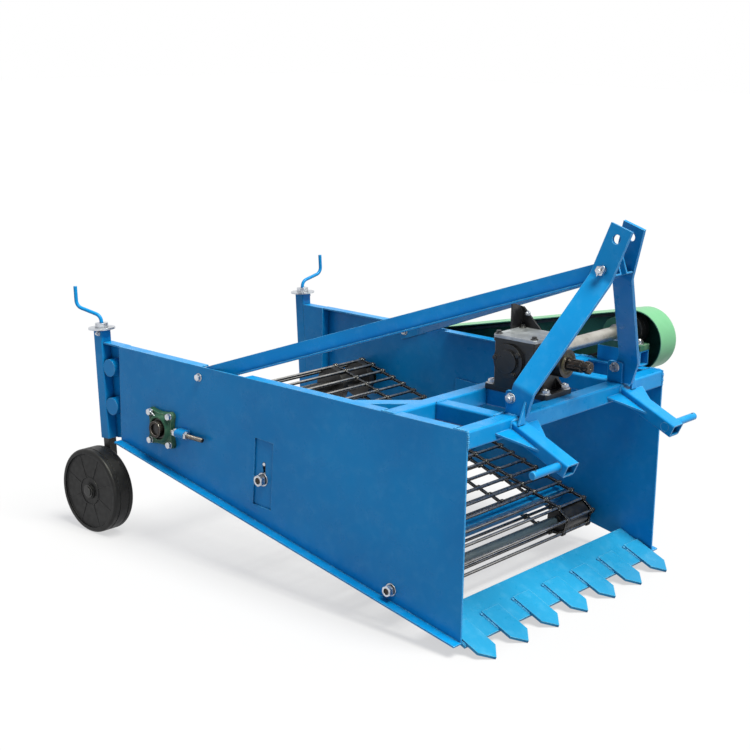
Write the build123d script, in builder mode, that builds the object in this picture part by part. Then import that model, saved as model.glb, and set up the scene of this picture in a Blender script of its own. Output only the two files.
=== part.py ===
from build123d import *
from math import asin, atan2, cos, degrees, hypot, pi, radians, sin, sqrt, tan
import os

os.makedirs("parts", exist_ok=True)

# Potato harvester for a three-point linkage, in millimetres.
# +X points forward to the tractor, +Y to the machine's left, +Z up.
# The origin is the centre of the drive shaft's front end face.

# Overall places, measured back from and down from the drive shaft's end
shaft_reach = 50  # drive shaft end ahead of the frame's front
shaft_rise = 95  # drive shaft axis above the deck
front_x = -shaft_reach
deck_z = -shaft_rise

# Side walls, as far apart as the web's rods need
rod_length = 912
rod_gap = 19  # from a rod's end to the wall
wall_t = 5
wall_spread = rod_length + 2 * (rod_gap + wall_t)  # outside to outside
wall_length = 1398
wall_front_depth = 583
wall_rear_depth = 311
wall_flange = 30
wall_out = wall_spread / 2
wall_in = wall_out - wall_t
wall_rear_x = front_x - wall_length
wall_slope = degrees(atan2(wall_front_depth - wall_rear_depth, wall_length))

# Deck of square tubes
tube = 50
tube_wall = 4
tube_round = 6
rear_beam_back = 272
rear_beam_x = front_x - rear_beam_back  # its centre
rail_y = 280
brace_run = 185
brace_size = 40

# Lower arms and hitch pins
arm_y = 266
arm_width = 52
arm_height = 40
arm_wall = 5
arm_length = 194
arm_dip = 24.4
arm_drop = 8  # top of the arm below the deck at the beam
gusset_reach = 100
gusset_width = 68
gusset_t = 6
pin_d = 22
pin_root_d = 26  # where it passes through the arm
pin_chamfer = 2
pin_setback = 26
pin_stand = 114
pin_fit = 0.1
linch_d = 8
linch_inset = 14  # from the pin's end

# Mast of two bent flat bars
mast_lean = 17.3
mast_width = 68
mast_t = 10
mast_foot_x = front_x - 10
mast_foot_y = 258
mast_top_y = 30
mast_knee_y = 54
mast_knee_low = 80
mast_knee_high = 375
mast_height = 522
mast_bend = 22
top_bore = 25.5
top_bore_down = 35
mast_bolt_d = 16
mast_bolt_down = 122
mast_nut_t = 12
mast_nut = 24  # across its flats
mast_lug_t = 8
mast_lug_height = 62
mast_fin_reach = 28
mast_fin_height = 44
mast_fin_t = 6
mast_fin_setback = 1

# Struts from the mast to the walls
strut_t = 5
strut_height = 48
strut_flange = 30
strut_rear_back = 1021
strut_rear_down = 34
strut_rear_x = front_x - strut_rear_back
strut_gap = 2.2  # between the strut's front end and the mast bar
strut_tab = 60
strut_bend = 30
strut_lip_rear = 140  # the bottom flange starts ahead of the rear bolt by this
strut_notch_start = 5  # gap in the wall's top flange, ahead of the strut's bolt
strut_notch = 190

# Gearbox with a cross shaft
axis_back = 163  # cross shaft axis behind the frame's front
cross_x = front_x - axis_back
box_back = 148  # middle of the housing behind the frame's front
box_x = front_x - box_back
box_y = -22  # its middle
box_length = 140
box_width = 130
box_height = 142
box_round = 8
box_rim = 4  # the flange under the lid stands out by this
box_rim_t = 10
box_base = 14
foot_length = 216
foot_width = 128
foot_y = -14
foot_rib_t = 10
foot_rib_y = 40
foot_rib_height = 40
foot_rail_y = 36  # the two rails under the foot, from its middle
lid_t = 10
lid_round = 3
cover_d = 98
cover_t = 9
cover_cap_d = 66
cover_cap_t = 8
side_quill_reach = 22
quill_d = 80
quill_seal_d = 62
quill_seal_t = 6
quill_reach = 52
shield_t = 5
shield_width = 52
shield_height = 58
shield_peak = 16  # its inner top corner is higher by this
shield_foot = 66
shield_low = 34  # it starts below the lid's top
pto_d = 35
pto_root_d = 40  # where it runs in the quill
cross_d = 40
journal_d = 35
cross_in = 38  # the cross shaft goes into the housing by this
journal_shoulder = 2  # shoulder beside the pillow bearing
shaft_stand = 8  # a shaft stands out of its pulley by this

pto_free = -(box_x + box_length / 2 + quill_reach)
cross_start = box_y + box_width / 2 - cross_in

# Pillow bearing on its stand
pillow_length = 180
pillow_width = 50
pillow_base = 18
pillow_height = 47
pillow_dome = 94
stand_length = 152
stand_back = 150  # its middle behind the frame's front
stand_out = 7  # and outside the wall
stand_width = 50
stand_wall = 4

# Belt drive on the left
pulley_stand = 65  # the belts' middle outside the wall
pulley_width = 44
drive_pulley_d = 90  # at the bottom of its grooves
driven_pulley_d = 250
pulley_hub_d = 70
pulley_web_t = 12
pulley_rim_t = 14
groove_gap = 0.5
belt_w = 13
belt_h = 9
belt_pitch = 17
guard_t = 3
guard_gap = 2  # between the wall's bottom flange and the guard
guard_reach = 120  # the guard's outer face outside the wall
guard_front_r = 96
guard_rear_r = 148
guard_front_back = 128  # front round behind the frame's front
guard_front_up = 66  # and above the deck
guard_stays = (0.3, 0.7)  # shares of the run between the two rounds
guard_stay_d = 16

pulley_y = wall_out + pulley_stand
guard_in_y = wall_out + wall_flange + guard_gap
guard_out_y = wall_out + guard_reach

# Rod web
rod_pitch = 50
rod_count = 46
rod_d = 10
web_slope = 16.2
sprocket_teeth = 8
web_front_r = 44
web_rear_back = 1188
web_rear_down = 223
rod_end = 16  # a rod stands out of the outer strand by this
strand_ys = (305, rod_length / 2 - rod_end)
link_w = 8
link_h = rod_d / 2
web_shaft_d = 35
rod_room = 1  # round a rod in its seat in a star wheel
roller_width = 22
roller_beside = 6  # between a strand and the roller beside it
wheel_gap = 0.3
front_axle_d = 28
support_r = 25
support_axle_d = 24
support_back = 758
web_shaft_slot = 25  # travel of the web shaft for tightening
web_shaft_room = 5

# Adjuster plates behind windows in the walls, for the support rollers
window_length = 75
window_height = 205
window_tilt = 3
window_back = 747
window_down = 277
plate_lap = 12
plate_t = 5
slot_back = 747  # middle of the clamp slot
slot_down = 264
slot_length = 44
slot_width = 12

# Tension screws that set the web shaft
tension_d = 14
tension_length = 140
tension_fit = 0.3
bush_d = 26
bush_length = 40
bush_start = 22  # from the bearing's edge
tension_nut = 22
tension_nut_t = 11
tension_out = 17  # the screw's axis outside the wall
tension_rise = 1

# Cross tie inside the web's loop
tie_size = 40
tie_wall = 3
tie_back = 116  # behind the front rollers

# Share
share_back = 114
share_lift = 52  # back edge of the share above the walls' lower front corner
share_down = wall_front_depth - share_lift
share_slope = 23.3
share_length = 138
share_t = 8
tooth_count = 7
tooth_margin = 43  # from the wall to the middle of the outer tooth
tooth_width = 76
tooth_root = 66  # root ahead of the share's back edge, along the slope
tooth_shoulder = 176
tooth_tip = 212
tooth_t = 8

tooth_pitch = 2 * (wall_in - tooth_margin) / (tooth_count - 1)

# Flange bearings
flange_size = 117
flange_t = 15
flange_corner = 16
housing_d = 94
housing_top_d = 72
housing_out = 26
ring_d = 52  # the bearing's inner ring
ring_out = 38
shaft_end_in = 7  # the shaft ends inside the ring by this
bearing_fit = 0.08

# Rear posts, legs and wheels
post = 40
post_wall = 4
post_round = 4
post_lean = 4
post_back = 1505  # post axis at deck height behind the frame's front
post_up = 38
post_down = 318
bracket_lap = 10  # the bracket reaches past the wall's rear edge
spacer_d = 56
spacer_gap = 0.3
spacer_downs = (79, 204)
leg = 30
leg_wall = 3
leg_round = 3
leg_top_down = 100
leg_bottom_down = 494
axle_d = 20
axle_collar_d = 34
axle_collar_t = 10
axle_head = 5
wheel_d = 275
wheel_width = 75
wheel_fit = 0.08
wheel_side_gap = 0.4
hub_d = 52
axle_down = share_down + tooth_tip * sin(radians(share_slope)) - wheel_d / 2  # wheels level with the tips
wheel_round = 9
rim_t = 16
wheel_groove = 4
wheel_groove_deep = 2
wheel_groove_y = 17
wheel_dish = 5  # depth of the outer face's hollow
wheel_web = 16
rib_count = 8
rib_t = 7
screw_d = 16
screw_fit = 0.4
jack_disc_d = 86
jack_disc_t = 6
jack_boss_d = 42
jack_boss_t = 14
crank_rod_d = 12
crank_rise = 42
crank_handle = 65
crank_bend = 26
crank_arm = 90
crank_arm_slope = 15
screw_below = 110  # the screw goes into the leg by this
screw_plug_t = 12


def finish(part, name):
    part.label = name
    export_step(part, "parts/" + name + ".step")


def finish_pair(part, name):
    finish(part, "right_" + name)
    finish(mirror(part, about=Plane.XZ), "left_" + name)


def finish_both(part, name):
    """One node for two like pieces, the second on the left side."""
    with BuildPart() as both:
        add(part)
        mirror(about=Plane.XZ)
    finish(both.part, name)


def at(back, down):
    """A place in the side view, from the frame's front and the deck."""
    return (front_x - back, deck_z - down)


def side_plane(y):
    """Upright plane at y whose local axes are world X and Z, facing the right side."""
    return Plane(origin=(0, y, 0), x_dir=(1, 0, 0), z_dir=(0, -1, 0))


# Places of the web's two shafts: the loop holds a whole number of pitches
web_rear_r = sprocket_teeth * rod_pitch / (2 * pi)
web_rear = at(web_rear_back, web_rear_down)
web_step = web_rear_r - web_front_r
web_span = rod_count * rod_pitch / 2 - pi * (web_rear_r + web_front_r) / 2
for attempt in range(6):
    wrap = pi * (web_rear_r + web_front_r) + 2 * web_step * asin(web_step / web_span)
    web_span = hypot((rod_count * rod_pitch - wrap) / 2, web_step)
web_front = (
    web_rear[0] + web_span * cos(radians(web_slope)),
    web_rear[1] - web_span * sin(radians(web_slope)),
)


# Rod web: rods at an even pitch round the loop
def web_place(distance):
    """Place in the side view at a distance along the loop, from the top of the rear round."""
    straight = sqrt(web_span**2 - web_step**2)
    front_wrap = web_front_r * (pi - 2 * web_tilt)
    top = web_heading + pi / 2 - web_tilt
    low = web_heading - pi / 2 + web_tilt
    if distance < straight:
        x = web_rear[0] + web_rear_r * cos(top) + distance * cos(web_heading - web_tilt)
        z = web_rear[1] + web_rear_r * sin(top) + distance * sin(web_heading - web_tilt)
        return (x, z)
    distance = distance - straight
    if distance < front_wrap:
        angle = top - distance / web_front_r
        return (web_front[0] + web_front_r * cos(angle), web_front[1] + web_front_r * sin(angle))
    distance = distance - front_wrap
    if distance < straight:
        x = web_front[0] + web_front_r * cos(low) - distance * cos(web_heading + web_tilt)
        z = web_front[1] + web_front_r * sin(low) - distance * sin(web_heading + web_tilt)
        return (x, z)
    angle = low - (distance - straight) / web_rear_r
    return (web_rear[0] + web_rear_r * cos(angle), web_rear[1] + web_rear_r * sin(angle))


web_heading = atan2(web_front[1] - web_rear[1], web_front[0] - web_rear[0])
web_tilt = asin(web_step / web_span)
rod_places = [web_place((number + 0.5) * rod_pitch) for number in range(rod_count)]

# Place of the support rollers under the web's upper run
support_run = ((front_x - support_back) - web_rear[0]) / cos(web_heading - web_tilt)
support_top = web_place(support_run)
support_away = rod_d / 2 + wheel_gap + support_r
support = (
    support_top[0] + support_away * sin(web_heading - web_tilt),
    support_top[1] - support_away * cos(web_heading - web_tilt),
)
window_place = Location((front_x - window_back, deck_z - window_down, 0), (0, 0, -window_tilt))

# Places of the tension screws, ahead of the flange bearings
tension_x = web_rear[0] + flange_size / 2 + wheel_gap
bush_x = tension_x + bush_start
tension_z = web_rear[1] + tension_rise

# Side walls: a plate with its top edge folded in and its bottom edge folded out
with BuildPart() as side_wall:
    with BuildSketch(side_plane(-wall_in)):
        with BuildLine():
            Polyline(
                at(0, 0),
                at(0, wall_front_depth),
                at(wall_length, wall_rear_depth),
                at(wall_length, 0),
                close=True,
            )
        make_face()
    extrude(amount=wall_t)
    with BuildSketch(Plane.XY.offset(deck_z)):
        with Locations((wall_rear_x, -wall_in)):
            Rectangle(wall_length - tube, wall_flange, align=(Align.MIN, Align.MIN))
        with Locations((rear_beam_x, -wall_in)):
            Rectangle(tube, wall_flange * 2, mode=Mode.SUBTRACT)
        with Locations((strut_rear_x + strut_notch_start, -wall_in)):
            Rectangle(strut_notch, wall_flange * 2, align=(Align.MIN, Align.CENTER), mode=Mode.SUBTRACT)
    extrude(amount=-wall_t)
    flange_place = Plane(
        origin=(front_x, -wall_out, deck_z - wall_front_depth),
        x_dir=(-cos(radians(wall_slope)), 0, sin(radians(wall_slope))),
        z_dir=(sin(radians(wall_slope)), 0, cos(radians(wall_slope))),
    )
    with BuildSketch(flange_place):
        Rectangle(
            wall_length / cos(radians(wall_slope)),
            wall_flange,
            align=(Align.MIN, Align.MIN),
        )
    extrude(amount=wall_t)
    with BuildSketch(side_plane(-wall_in)):
        with Locations(web_rear):
            SlotCenterToCenter(web_shaft_slot, web_shaft_d + 2 * web_shaft_room)
        with Locations(window_place):
            Rectangle(window_length, window_height)
    extrude(amount=wall_t, mode=Mode.SUBTRACT)
    with BuildSketch(Plane.YZ.offset(bush_x)):
        with Locations((-wall_out - tension_out, tension_z)):
            Circle(bush_d / 2)
        with Locations((-wall_out, tension_z)):
            Rectangle(tension_out, bush_d, align=(Align.MAX, Align.CENTER))
        with Locations((-wall_out - tension_out, tension_z)):
            Circle(tension_d / 2 + tension_fit, mode=Mode.SUBTRACT)
    extrude(amount=bush_length)
finish_pair(side_wall.part, "side_wall")

# Adjuster plates: they lie on the walls' inside, behind the windows
with BuildPart() as adjuster_plate:
    with BuildSketch(side_plane(-wall_in + plate_t)):
        with Locations(window_place):
            RectangleRounded(window_length + 2 * plate_lap, window_height + 2 * plate_lap, plate_lap / 2)
        with Locations(at(slot_back, slot_down)):
            SlotOverall(slot_length, slot_width, rotation=90, mode=Mode.SUBTRACT)
    extrude(amount=plate_t)
finish_both(adjuster_plate.part, "adjuster_plates")

# Tension screws with a nut on each side of the bush
with BuildPart() as tension_screw:
    with BuildSketch(Plane.YZ.offset(tension_x)):
        with Locations((-wall_out - tension_out, tension_z)):
            Circle(tension_d / 2)
    extrude(amount=tension_length)
    for nut_x in (bush_x - tension_nut_t, bush_x + bush_length):
        with BuildSketch(Plane.YZ.offset(nut_x)):
            with Locations((-wall_out - tension_out, tension_z)):
                RegularPolygon(tension_nut / 2, 6, major_radius=False)
        extrude(amount=tension_nut_t)
finish_both(tension_screw.part, "tension_screws")

# Deck: front and rear beams, four rails between them and two corner braces
with BuildPart() as front_beam:
    with BuildSketch(Plane.XZ.offset(wall_in)):
        with Locations((front_x - tube / 2, deck_z - tube / 2)):
            RectangleRounded(tube, tube, tube_round)
            RectangleRounded(
                tube - 2 * tube_wall, tube - 2 * tube_wall, tube_round - tube_wall, mode=Mode.SUBTRACT
            )
    extrude(amount=-2 * wall_in)
finish(front_beam.part, "front_beam")

with BuildPart() as rear_beam:
    with BuildSketch(Plane.XZ.offset(wall_in)):
        with Locations((rear_beam_x, deck_z - tube / 2)):
            RectangleRounded(tube, tube, tube_round)
            RectangleRounded(
                tube - 2 * tube_wall, tube - 2 * tube_wall, tube_round - tube_wall, mode=Mode.SUBTRACT
            )
    extrude(amount=-2 * wall_in)
finish(rear_beam.part, "rear_beam")

rail_start = rear_beam_x + tube / 2
rail_end = front_x - tube
rail_ys = (-rail_y, foot_y - foot_rail_y, foot_y + foot_rail_y, rail_y)
with BuildPart() as deck_rails:
    with BuildSketch(Plane.YZ.offset(rail_start)):
        with Locations([(y, deck_z - tube / 2) for y in rail_ys]):
            RectangleRounded(tube, tube, tube_round)
            RectangleRounded(
                tube - 2 * tube_wall, tube - 2 * tube_wall, tube_round - tube_wall, mode=Mode.SUBTRACT
            )
    extrude(amount=rail_end - rail_start)
finish(deck_rails.part, "deck_rails")

with BuildPart() as corner_braces:
    for side in (-1, 1):
        with BuildSketch(Plane.XY.offset(deck_z - wall_t)):
            with BuildLine():
                Polyline(
                    (rear_beam_x - tube / 2, side * (wall_in - brace_run)),
                    (rear_beam_x - tube / 2 - brace_run, side * wall_in),
                    (rear_beam_x - tube / 2 - brace_run + brace_size * sqrt(2), side * wall_in),
                    (rear_beam_x - tube / 2, side * (wall_in - brace_run + brace_size * sqrt(2))),
                    close=True,
                )
            make_face()
        extrude(amount=-brace_size)
finish(corner_braces.part, "corner_braces")

# Lower arms: flat tubes that run down and forward, with a gusset on each side
arm_dir = (cos(radians(arm_dip)), 0, -sin(radians(arm_dip)))
arm_up = (sin(radians(arm_dip)), 0, cos(radians(arm_dip)))
arm_root = (front_x, deck_z - arm_drop - arm_height / 2 / cos(radians(arm_dip)))
arm_across = Plane(origin=(arm_root[0], -arm_y, arm_root[1]), x_dir=(0, 1, 0), z_dir=arm_dir)
with BuildPart() as lower_arm:
    with BuildSketch(arm_across):
        RectangleRounded(arm_width, arm_height, tube_round)
    extrude(amount=arm_length)
    extrude(faces().sort_by(Axis.X)[0], amount=arm_height)
    with BuildSketch(Plane(origin=arm_across.origin, x_dir=arm_dir, z_dir=arm_up)):
        with BuildLine():
            Polyline(
                (-arm_height, -arm_width / 2 - gusset_width - gusset_width * arm_height / gusset_reach),
                (gusset_reach, -arm_width / 2),
                (gusset_reach, arm_width / 2),
                (-arm_height, arm_width / 2 + gusset_width + gusset_width * arm_height / gusset_reach),
                close=True,
            )
        make_face()
    extrude(amount=gusset_t / 2, both=True)
    with BuildSketch(arm_across):
        RectangleRounded(arm_width - 2 * arm_wall, arm_height - 2 * arm_wall, tube_round - arm_wall)
    extrude(amount=2 * arm_length, both=True, mode=Mode.SUBTRACT)
    split(bisect_by=Plane.YZ.offset(front_x), keep=Keep.TOP)
    pin_x = arm_root[0] + (arm_length - pin_setback) * arm_dir[0]
    pin_z = arm_root[1] + (arm_length - pin_setback) * arm_dir[2]
    with BuildSketch(side_plane(-arm_y)):
        with Locations((pin_x, pin_z)):
            Circle(pin_root_d / 2 + pin_fit)
    extrude(amount=arm_width, both=True, mode=Mode.SUBTRACT)
finish_pair(lower_arm.part, "lower_arm")

with BuildPart() as hitch_pin:
    with BuildSketch(side_plane(-arm_y - arm_width / 2)):
        with Locations((pin_x, pin_z)):
            Circle(pin_d / 2)
    extrude(amount=pin_stand)
    chamfer(edges().sort_by(Axis.Y)[0], pin_chamfer)
    with BuildSketch(side_plane(-arm_y + arm_width / 2)):
        with Locations((pin_x, pin_z)):
            Circle(pin_root_d / 2)
    extrude(amount=arm_width)
    with BuildSketch(Plane.XY.offset(pin_z)):
        with Locations((pin_x, -arm_y - arm_width / 2 - pin_stand + linch_inset)):
            Circle(linch_d / 2)
    extrude(amount=pin_d, both=True, mode=Mode.SUBTRACT)
finish_both(hitch_pin.part, "hitch_pins")

# Mast: two bent flat bars that lean forward and meet round the top link
mast_across = (cos(radians(mast_lean)), 0, -sin(radians(mast_lean)))
mast_up = (sin(radians(mast_lean)), 0, cos(radians(mast_lean)))
mast_plane = Plane(origin=(mast_foot_x, 0, deck_z), x_dir=(0, 1, 0), z_dir=mast_across)


def mast_point(along):
    """A place on the mast's centre line in the side view."""
    return (mast_foot_x + along * mast_up[0], deck_z + along * mast_up[2])


fin_x = mast_foot_x + mast_width / 2 / cos(radians(mast_lean)) - mast_fin_setback
fin_z = deck_z - arm_drop - (fin_x - mast_fin_t - front_x) * tan(radians(arm_dip))
with BuildPart() as mast_bar:
    with BuildSketch(mast_plane):
        with BuildLine():
            FilletPolyline(
                (-mast_foot_y - mast_t / 2, -mast_width),
                (-mast_foot_y - mast_t / 2, mast_knee_low),
                (-mast_knee_y - mast_t / 2, mast_knee_high),
                (-mast_top_y - mast_t / 2, mast_height),
                radius=mast_bend,
            )
            offset(amount=mast_t, side=Side.RIGHT)
        make_face()
    extrude(amount=mast_width / 2, both=True)
    split(bisect_by=Plane.XY.offset(deck_z), keep=Keep.TOP)
    with BuildSketch(side_plane(0)):
        with Locations(mast_point(mast_height - top_bore_down)):
            Circle(top_bore / 2)
        with Locations(mast_point(mast_height - mast_bolt_down)):
            Circle(mast_bolt_d / 2 + pin_fit)
    extrude(amount=mast_foot_y, mode=Mode.SUBTRACT)
    with BuildSketch(Plane.YZ.offset(fin_x)):
        with BuildLine():
            Polyline(
                (-mast_foot_y - mast_t / 2, deck_z + mast_fin_height),
                (-mast_foot_y - mast_t / 2, fin_z),
                (-mast_foot_y - mast_t / 2 - mast_fin_reach, fin_z),
                close=True,
            )
        make_face()
    extrude(amount=-mast_fin_t)
finish_pair(mast_bar.part, "mast_bar")

# Lugs on the front beam, behind the mast bars' feet
with BuildPart() as mast_lug:
    with BuildSketch(side_plane(-mast_foot_y + mast_t / 2 + mast_lug_t)):
        with Locations((front_x - tube / 2, deck_z)):
            Rectangle(tube, mast_lug_height, align=(Align.CENTER, Align.MIN))
        fillet(vertices().group_by(Axis.Y)[-1], tube_round)
    extrude(amount=mast_lug_t)
finish_both(mast_lug.part, "mast_lugs")

# Struts: bent angle bars from the mast bolt down to the inside of each wall
mast_bolt = mast_point(mast_height - mast_bolt_down)
strut_rear = (strut_rear_x, deck_z - strut_rear_down)
strut_angle = atan2(mast_bolt[1] - strut_rear[1], mast_bolt[0] - strut_rear[0])
strut_edge_y = mast_top_y + (mast_knee_y - mast_top_y) * mast_bolt_down / (mast_height - mast_knee_high)
strut_edge_y = strut_edge_y - mast_t / 2 - strut_gap
strut_front_y = strut_edge_y - strut_flange + strut_t


def strut_path(width, way):
    FilletPolyline(
        (strut_rear_x - strut_tab, -wall_in),
        (strut_rear_x + strut_tab, -wall_in),
        (mast_bolt[0] - strut_tab, -strut_front_y),
        (mast_bolt[0] + strut_tab / 2, -strut_front_y),
        radius=strut_bend,
    )
    offset(amount=width, side=way)


def strut_strip(rise, height, start, end):
    """Side-view strip along the strut, in its own slanted axes."""
    strip_plane = Plane(
        origin=(strut_rear[0], 0, strut_rear[1]),
        x_dir=(cos(strut_angle), 0, sin(strut_angle)),
        z_dir=(0, -1, 0),
    )
    with BuildSketch(strip_plane) as strip:
        with Locations((start, rise)):
            Rectangle(end - start, height, align=(Align.MIN, Align.MIN))
    return strip.sketch


strut_run = hypot(mast_bolt[0] - strut_rear[0], mast_bolt[1] - strut_rear[1])
with BuildPart() as strut_web:
    with BuildSketch(Plane.XY.offset(deck_z - wall_front_depth)):
        with BuildLine():
            strut_path(strut_t, Side.LEFT)
        make_face()
    extrude(amount=2 * wall_front_depth)
    web_strip = strut_strip(
        -strut_height / 2, strut_height, -strut_height / 2, strut_run + strut_height / 2
    )
    extrude(web_strip, amount=wall_spread, both=True, mode=Mode.INTERSECT)
with BuildPart() as strut_lip:
    with BuildSketch(Plane.XY.offset(deck_z - wall_front_depth)):
        with BuildLine():
            strut_path(strut_flange - strut_t, Side.RIGHT)
        make_face()
    extrude(amount=2 * wall_front_depth)
    lip_strip = strut_strip(-strut_height / 2, strut_t, strut_lip_rear, strut_run + strut_height / 2)
    extrude(lip_strip, amount=wall_spread, both=True, mode=Mode.INTERSECT)
with BuildPart() as strut:
    add(strut_web.part)
    add(strut_lip.part)
    with BuildSketch(side_plane(0)):
        with Locations(mast_bolt, strut_rear):
            Circle(mast_bolt_d / 2 + pin_fit)
    extrude(amount=wall_in, mode=Mode.SUBTRACT)
finish_pair(strut.part, "strut")

# Through bolt that clamps the struts between the mast bars
with BuildPart() as mast_bolt_part:
    with BuildSketch(side_plane(mast_knee_y + mast_t)):
        with Locations(mast_bolt):
            Circle(mast_bolt_d / 2)
    extrude(amount=2 * (mast_knee_y + mast_t))
    for side in (-1, 1):
        with BuildSketch(side_plane(side * (mast_knee_y + mast_t))):
            with Locations(mast_bolt):
                RegularPolygon(mast_nut / 2, 6, major_radius=False)
        extrude(amount=side * -mast_nut_t)
finish(mast_bolt_part.part, "mast_bolt")

# Gearbox: cast housing on a ribbed foot plate, with a round side cover, two quills and
# the bracket of the shaft's shield at its rear left corner
box_front = box_x + box_length / 2
box_rear = box_x - box_length / 2
foot_top = deck_z + box_base
lid_z = foot_top + box_height
lid_top = lid_z + lid_t
shield_x = box_rear - box_rim
shield_y = box_y + box_width / 2 + box_rim
with BuildPart() as gearbox:
    with BuildSketch(Plane.XY.offset(foot_top)):
        with Locations((box_x, box_y)):
            RectangleRounded(box_length, box_width, box_round)
    extrude(amount=box_height)
    with BuildSketch(Plane.XY.offset(lid_z - box_rim_t)):
        with Locations((box_x, box_y)):
            RectangleRounded(box_length + 2 * box_rim, box_width + 2 * box_rim, box_round + box_rim)
    extrude(amount=box_rim_t)
    with BuildSketch(Plane.XY.offset(deck_z)):
        with Locations((box_x, foot_y)):
            RectangleRounded(foot_length, foot_width, box_round)
    extrude(amount=box_base)
    for side in (-1, 1):
        with BuildSketch(side_plane(foot_y + side * foot_rib_y + foot_rib_t / 2)):
            with BuildLine():
                Polyline(
                    (box_x - foot_length / 2 + foot_rib_t, foot_top),
                    (box_x + foot_length / 2 - foot_rib_t, foot_top),
                    (box_front - foot_rib_t, foot_top + foot_rib_height),
                    (box_rear + foot_rib_t, foot_top + foot_rib_height),
                    close=True,
                )
            make_face()
        extrude(amount=foot_rib_t)
    with BuildSketch(side_plane(box_y - box_width / 2)):
        with Locations((cross_x, 0)):
            Circle(cover_d / 2)
    extrude(amount=cover_t)
    with BuildSketch(side_plane(box_y - box_width / 2 - cover_t)):
        with Locations((cross_x, 0)):
            Circle(cover_cap_d / 2)
    extrude(amount=cover_cap_t)
    with BuildSketch(side_plane(box_y + box_width / 2)):
        with Locations((cross_x, 0)):
            Circle(quill_d / 2)
    extrude(amount=-side_quill_reach)
    with BuildSketch(Plane.YZ.offset(box_front)):
        Circle(quill_d / 2)
    extrude(amount=quill_reach)
    with BuildSketch(Plane.YZ.offset(shield_x - shield_t)):
        with BuildLine():
            Polyline(
                (shield_y + shield_t, lid_top - shield_low),
                (shield_y + shield_t, lid_top + shield_height),
                (shield_y + shield_t - shield_width, lid_top + shield_height + shield_peak),
                (shield_y + shield_t - shield_width, lid_top - shield_low),
                close=True,
            )
        make_face()
    extrude(amount=shield_t)
    with BuildSketch(side_plane(shield_y + shield_t)):
        with BuildLine():
            Polyline(
                (shield_x - shield_t, lid_top - shield_low),
                (shield_x + shield_foot, lid_top - shield_low),
                (shield_x + shield_foot, lid_top),
                (shield_x + shield_t, lid_top + shield_height),
                (shield_x - shield_t, lid_top + shield_height),
                close=True,
            )
        make_face()
    extrude(amount=shield_t)
    with BuildSketch(Plane.YZ.offset(-pto_free - quill_reach)):
        Circle(pto_root_d / 2 + bearing_fit)
    extrude(amount=quill_reach, mode=Mode.SUBTRACT)
    with BuildSketch(Plane.YZ.offset(-pto_free - quill_seal_t)):
        Circle(quill_seal_d / 2)
    extrude(amount=quill_seal_t, mode=Mode.SUBTRACT)
    with BuildSketch(side_plane(cross_start)):
        with Locations((cross_x, 0)):
            Circle(cross_d / 2 + bearing_fit)
    extrude(amount=-box_width, mode=Mode.SUBTRACT)
finish(gearbox.part, "gearbox_housing")

with BuildPart() as gearbox_lid:
    with BuildSketch(Plane.XY.offset(lid_z)):
        with Locations((box_x, box_y)):
            RectangleRounded(box_length + 2 * box_rim, box_width + 2 * box_rim, box_round + box_rim)
    extrude(amount=lid_t)
    fillet(edges().group_by(Axis.Z)[-1], lid_round)
finish(gearbox_lid.part, "gearbox_lid")

with BuildPart() as pto_shaft:
    with BuildSketch(Plane.YZ):
        Circle(pto_d / 2)
    extrude(amount=-pto_free)
    with BuildSketch(Plane.YZ.offset(-pto_free)):
        Circle(pto_root_d / 2)
    extrude(amount=-quill_reach)
finish(pto_shaft.part, "pto_shaft")

# Cross shaft to the left side, in a pillow bearing on a box stand
pillow_y = wall_out + stand_out
pulley_out = pulley_y + pulley_width / 2
journal_start = pillow_y - pillow_width / 2 - journal_shoulder
with BuildPart() as cross_shaft:
    with BuildSketch(side_plane(cross_start)):
        with Locations((cross_x, 0)):
            Circle(cross_d / 2)
    extrude(amount=cross_start - journal_start)
    with BuildSketch(side_plane(journal_start)):
        with Locations((cross_x, 0)):
            Circle(journal_d / 2)
    extrude(amount=journal_start - pulley_out - shaft_stand)
finish(cross_shaft.part, "cross_shaft")

stand_height = shaft_rise - pillow_height
with BuildPart() as pillow_stand:
    with BuildSketch(Plane.YZ.offset(front_x - stand_back - stand_length / 2)):
        with Locations((pillow_y, deck_z + stand_height / 2)):
            Rectangle(stand_width, stand_height)
            Rectangle(stand_width - 2 * stand_wall, stand_height - 2 * stand_wall, mode=Mode.SUBTRACT)
    extrude(amount=stand_length)
finish(pillow_stand.part, "pillow_stand")

with BuildPart() as pillow_bearing:
    with BuildSketch(side_plane(pillow_y + pillow_width / 2)):
        with Locations((cross_x, -pillow_height + pillow_base / 2)):
            Rectangle(pillow_length, pillow_base)
        with Locations((cross_x, 0)):
            Circle(pillow_dome / 2)
        with Locations((cross_x, -pillow_height / 2)):
            Rectangle(pillow_dome, pillow_height)
        with Locations((cross_x, -pillow_height - pillow_dome)):
            Rectangle(pillow_length, 2 * pillow_dome, mode=Mode.SUBTRACT)
        with Locations((cross_x, 0)):
            Circle(journal_d / 2 + bearing_fit, mode=Mode.SUBTRACT)
    extrude(amount=pillow_width)
finish(pillow_bearing.part, "pillow_bearing")

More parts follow.
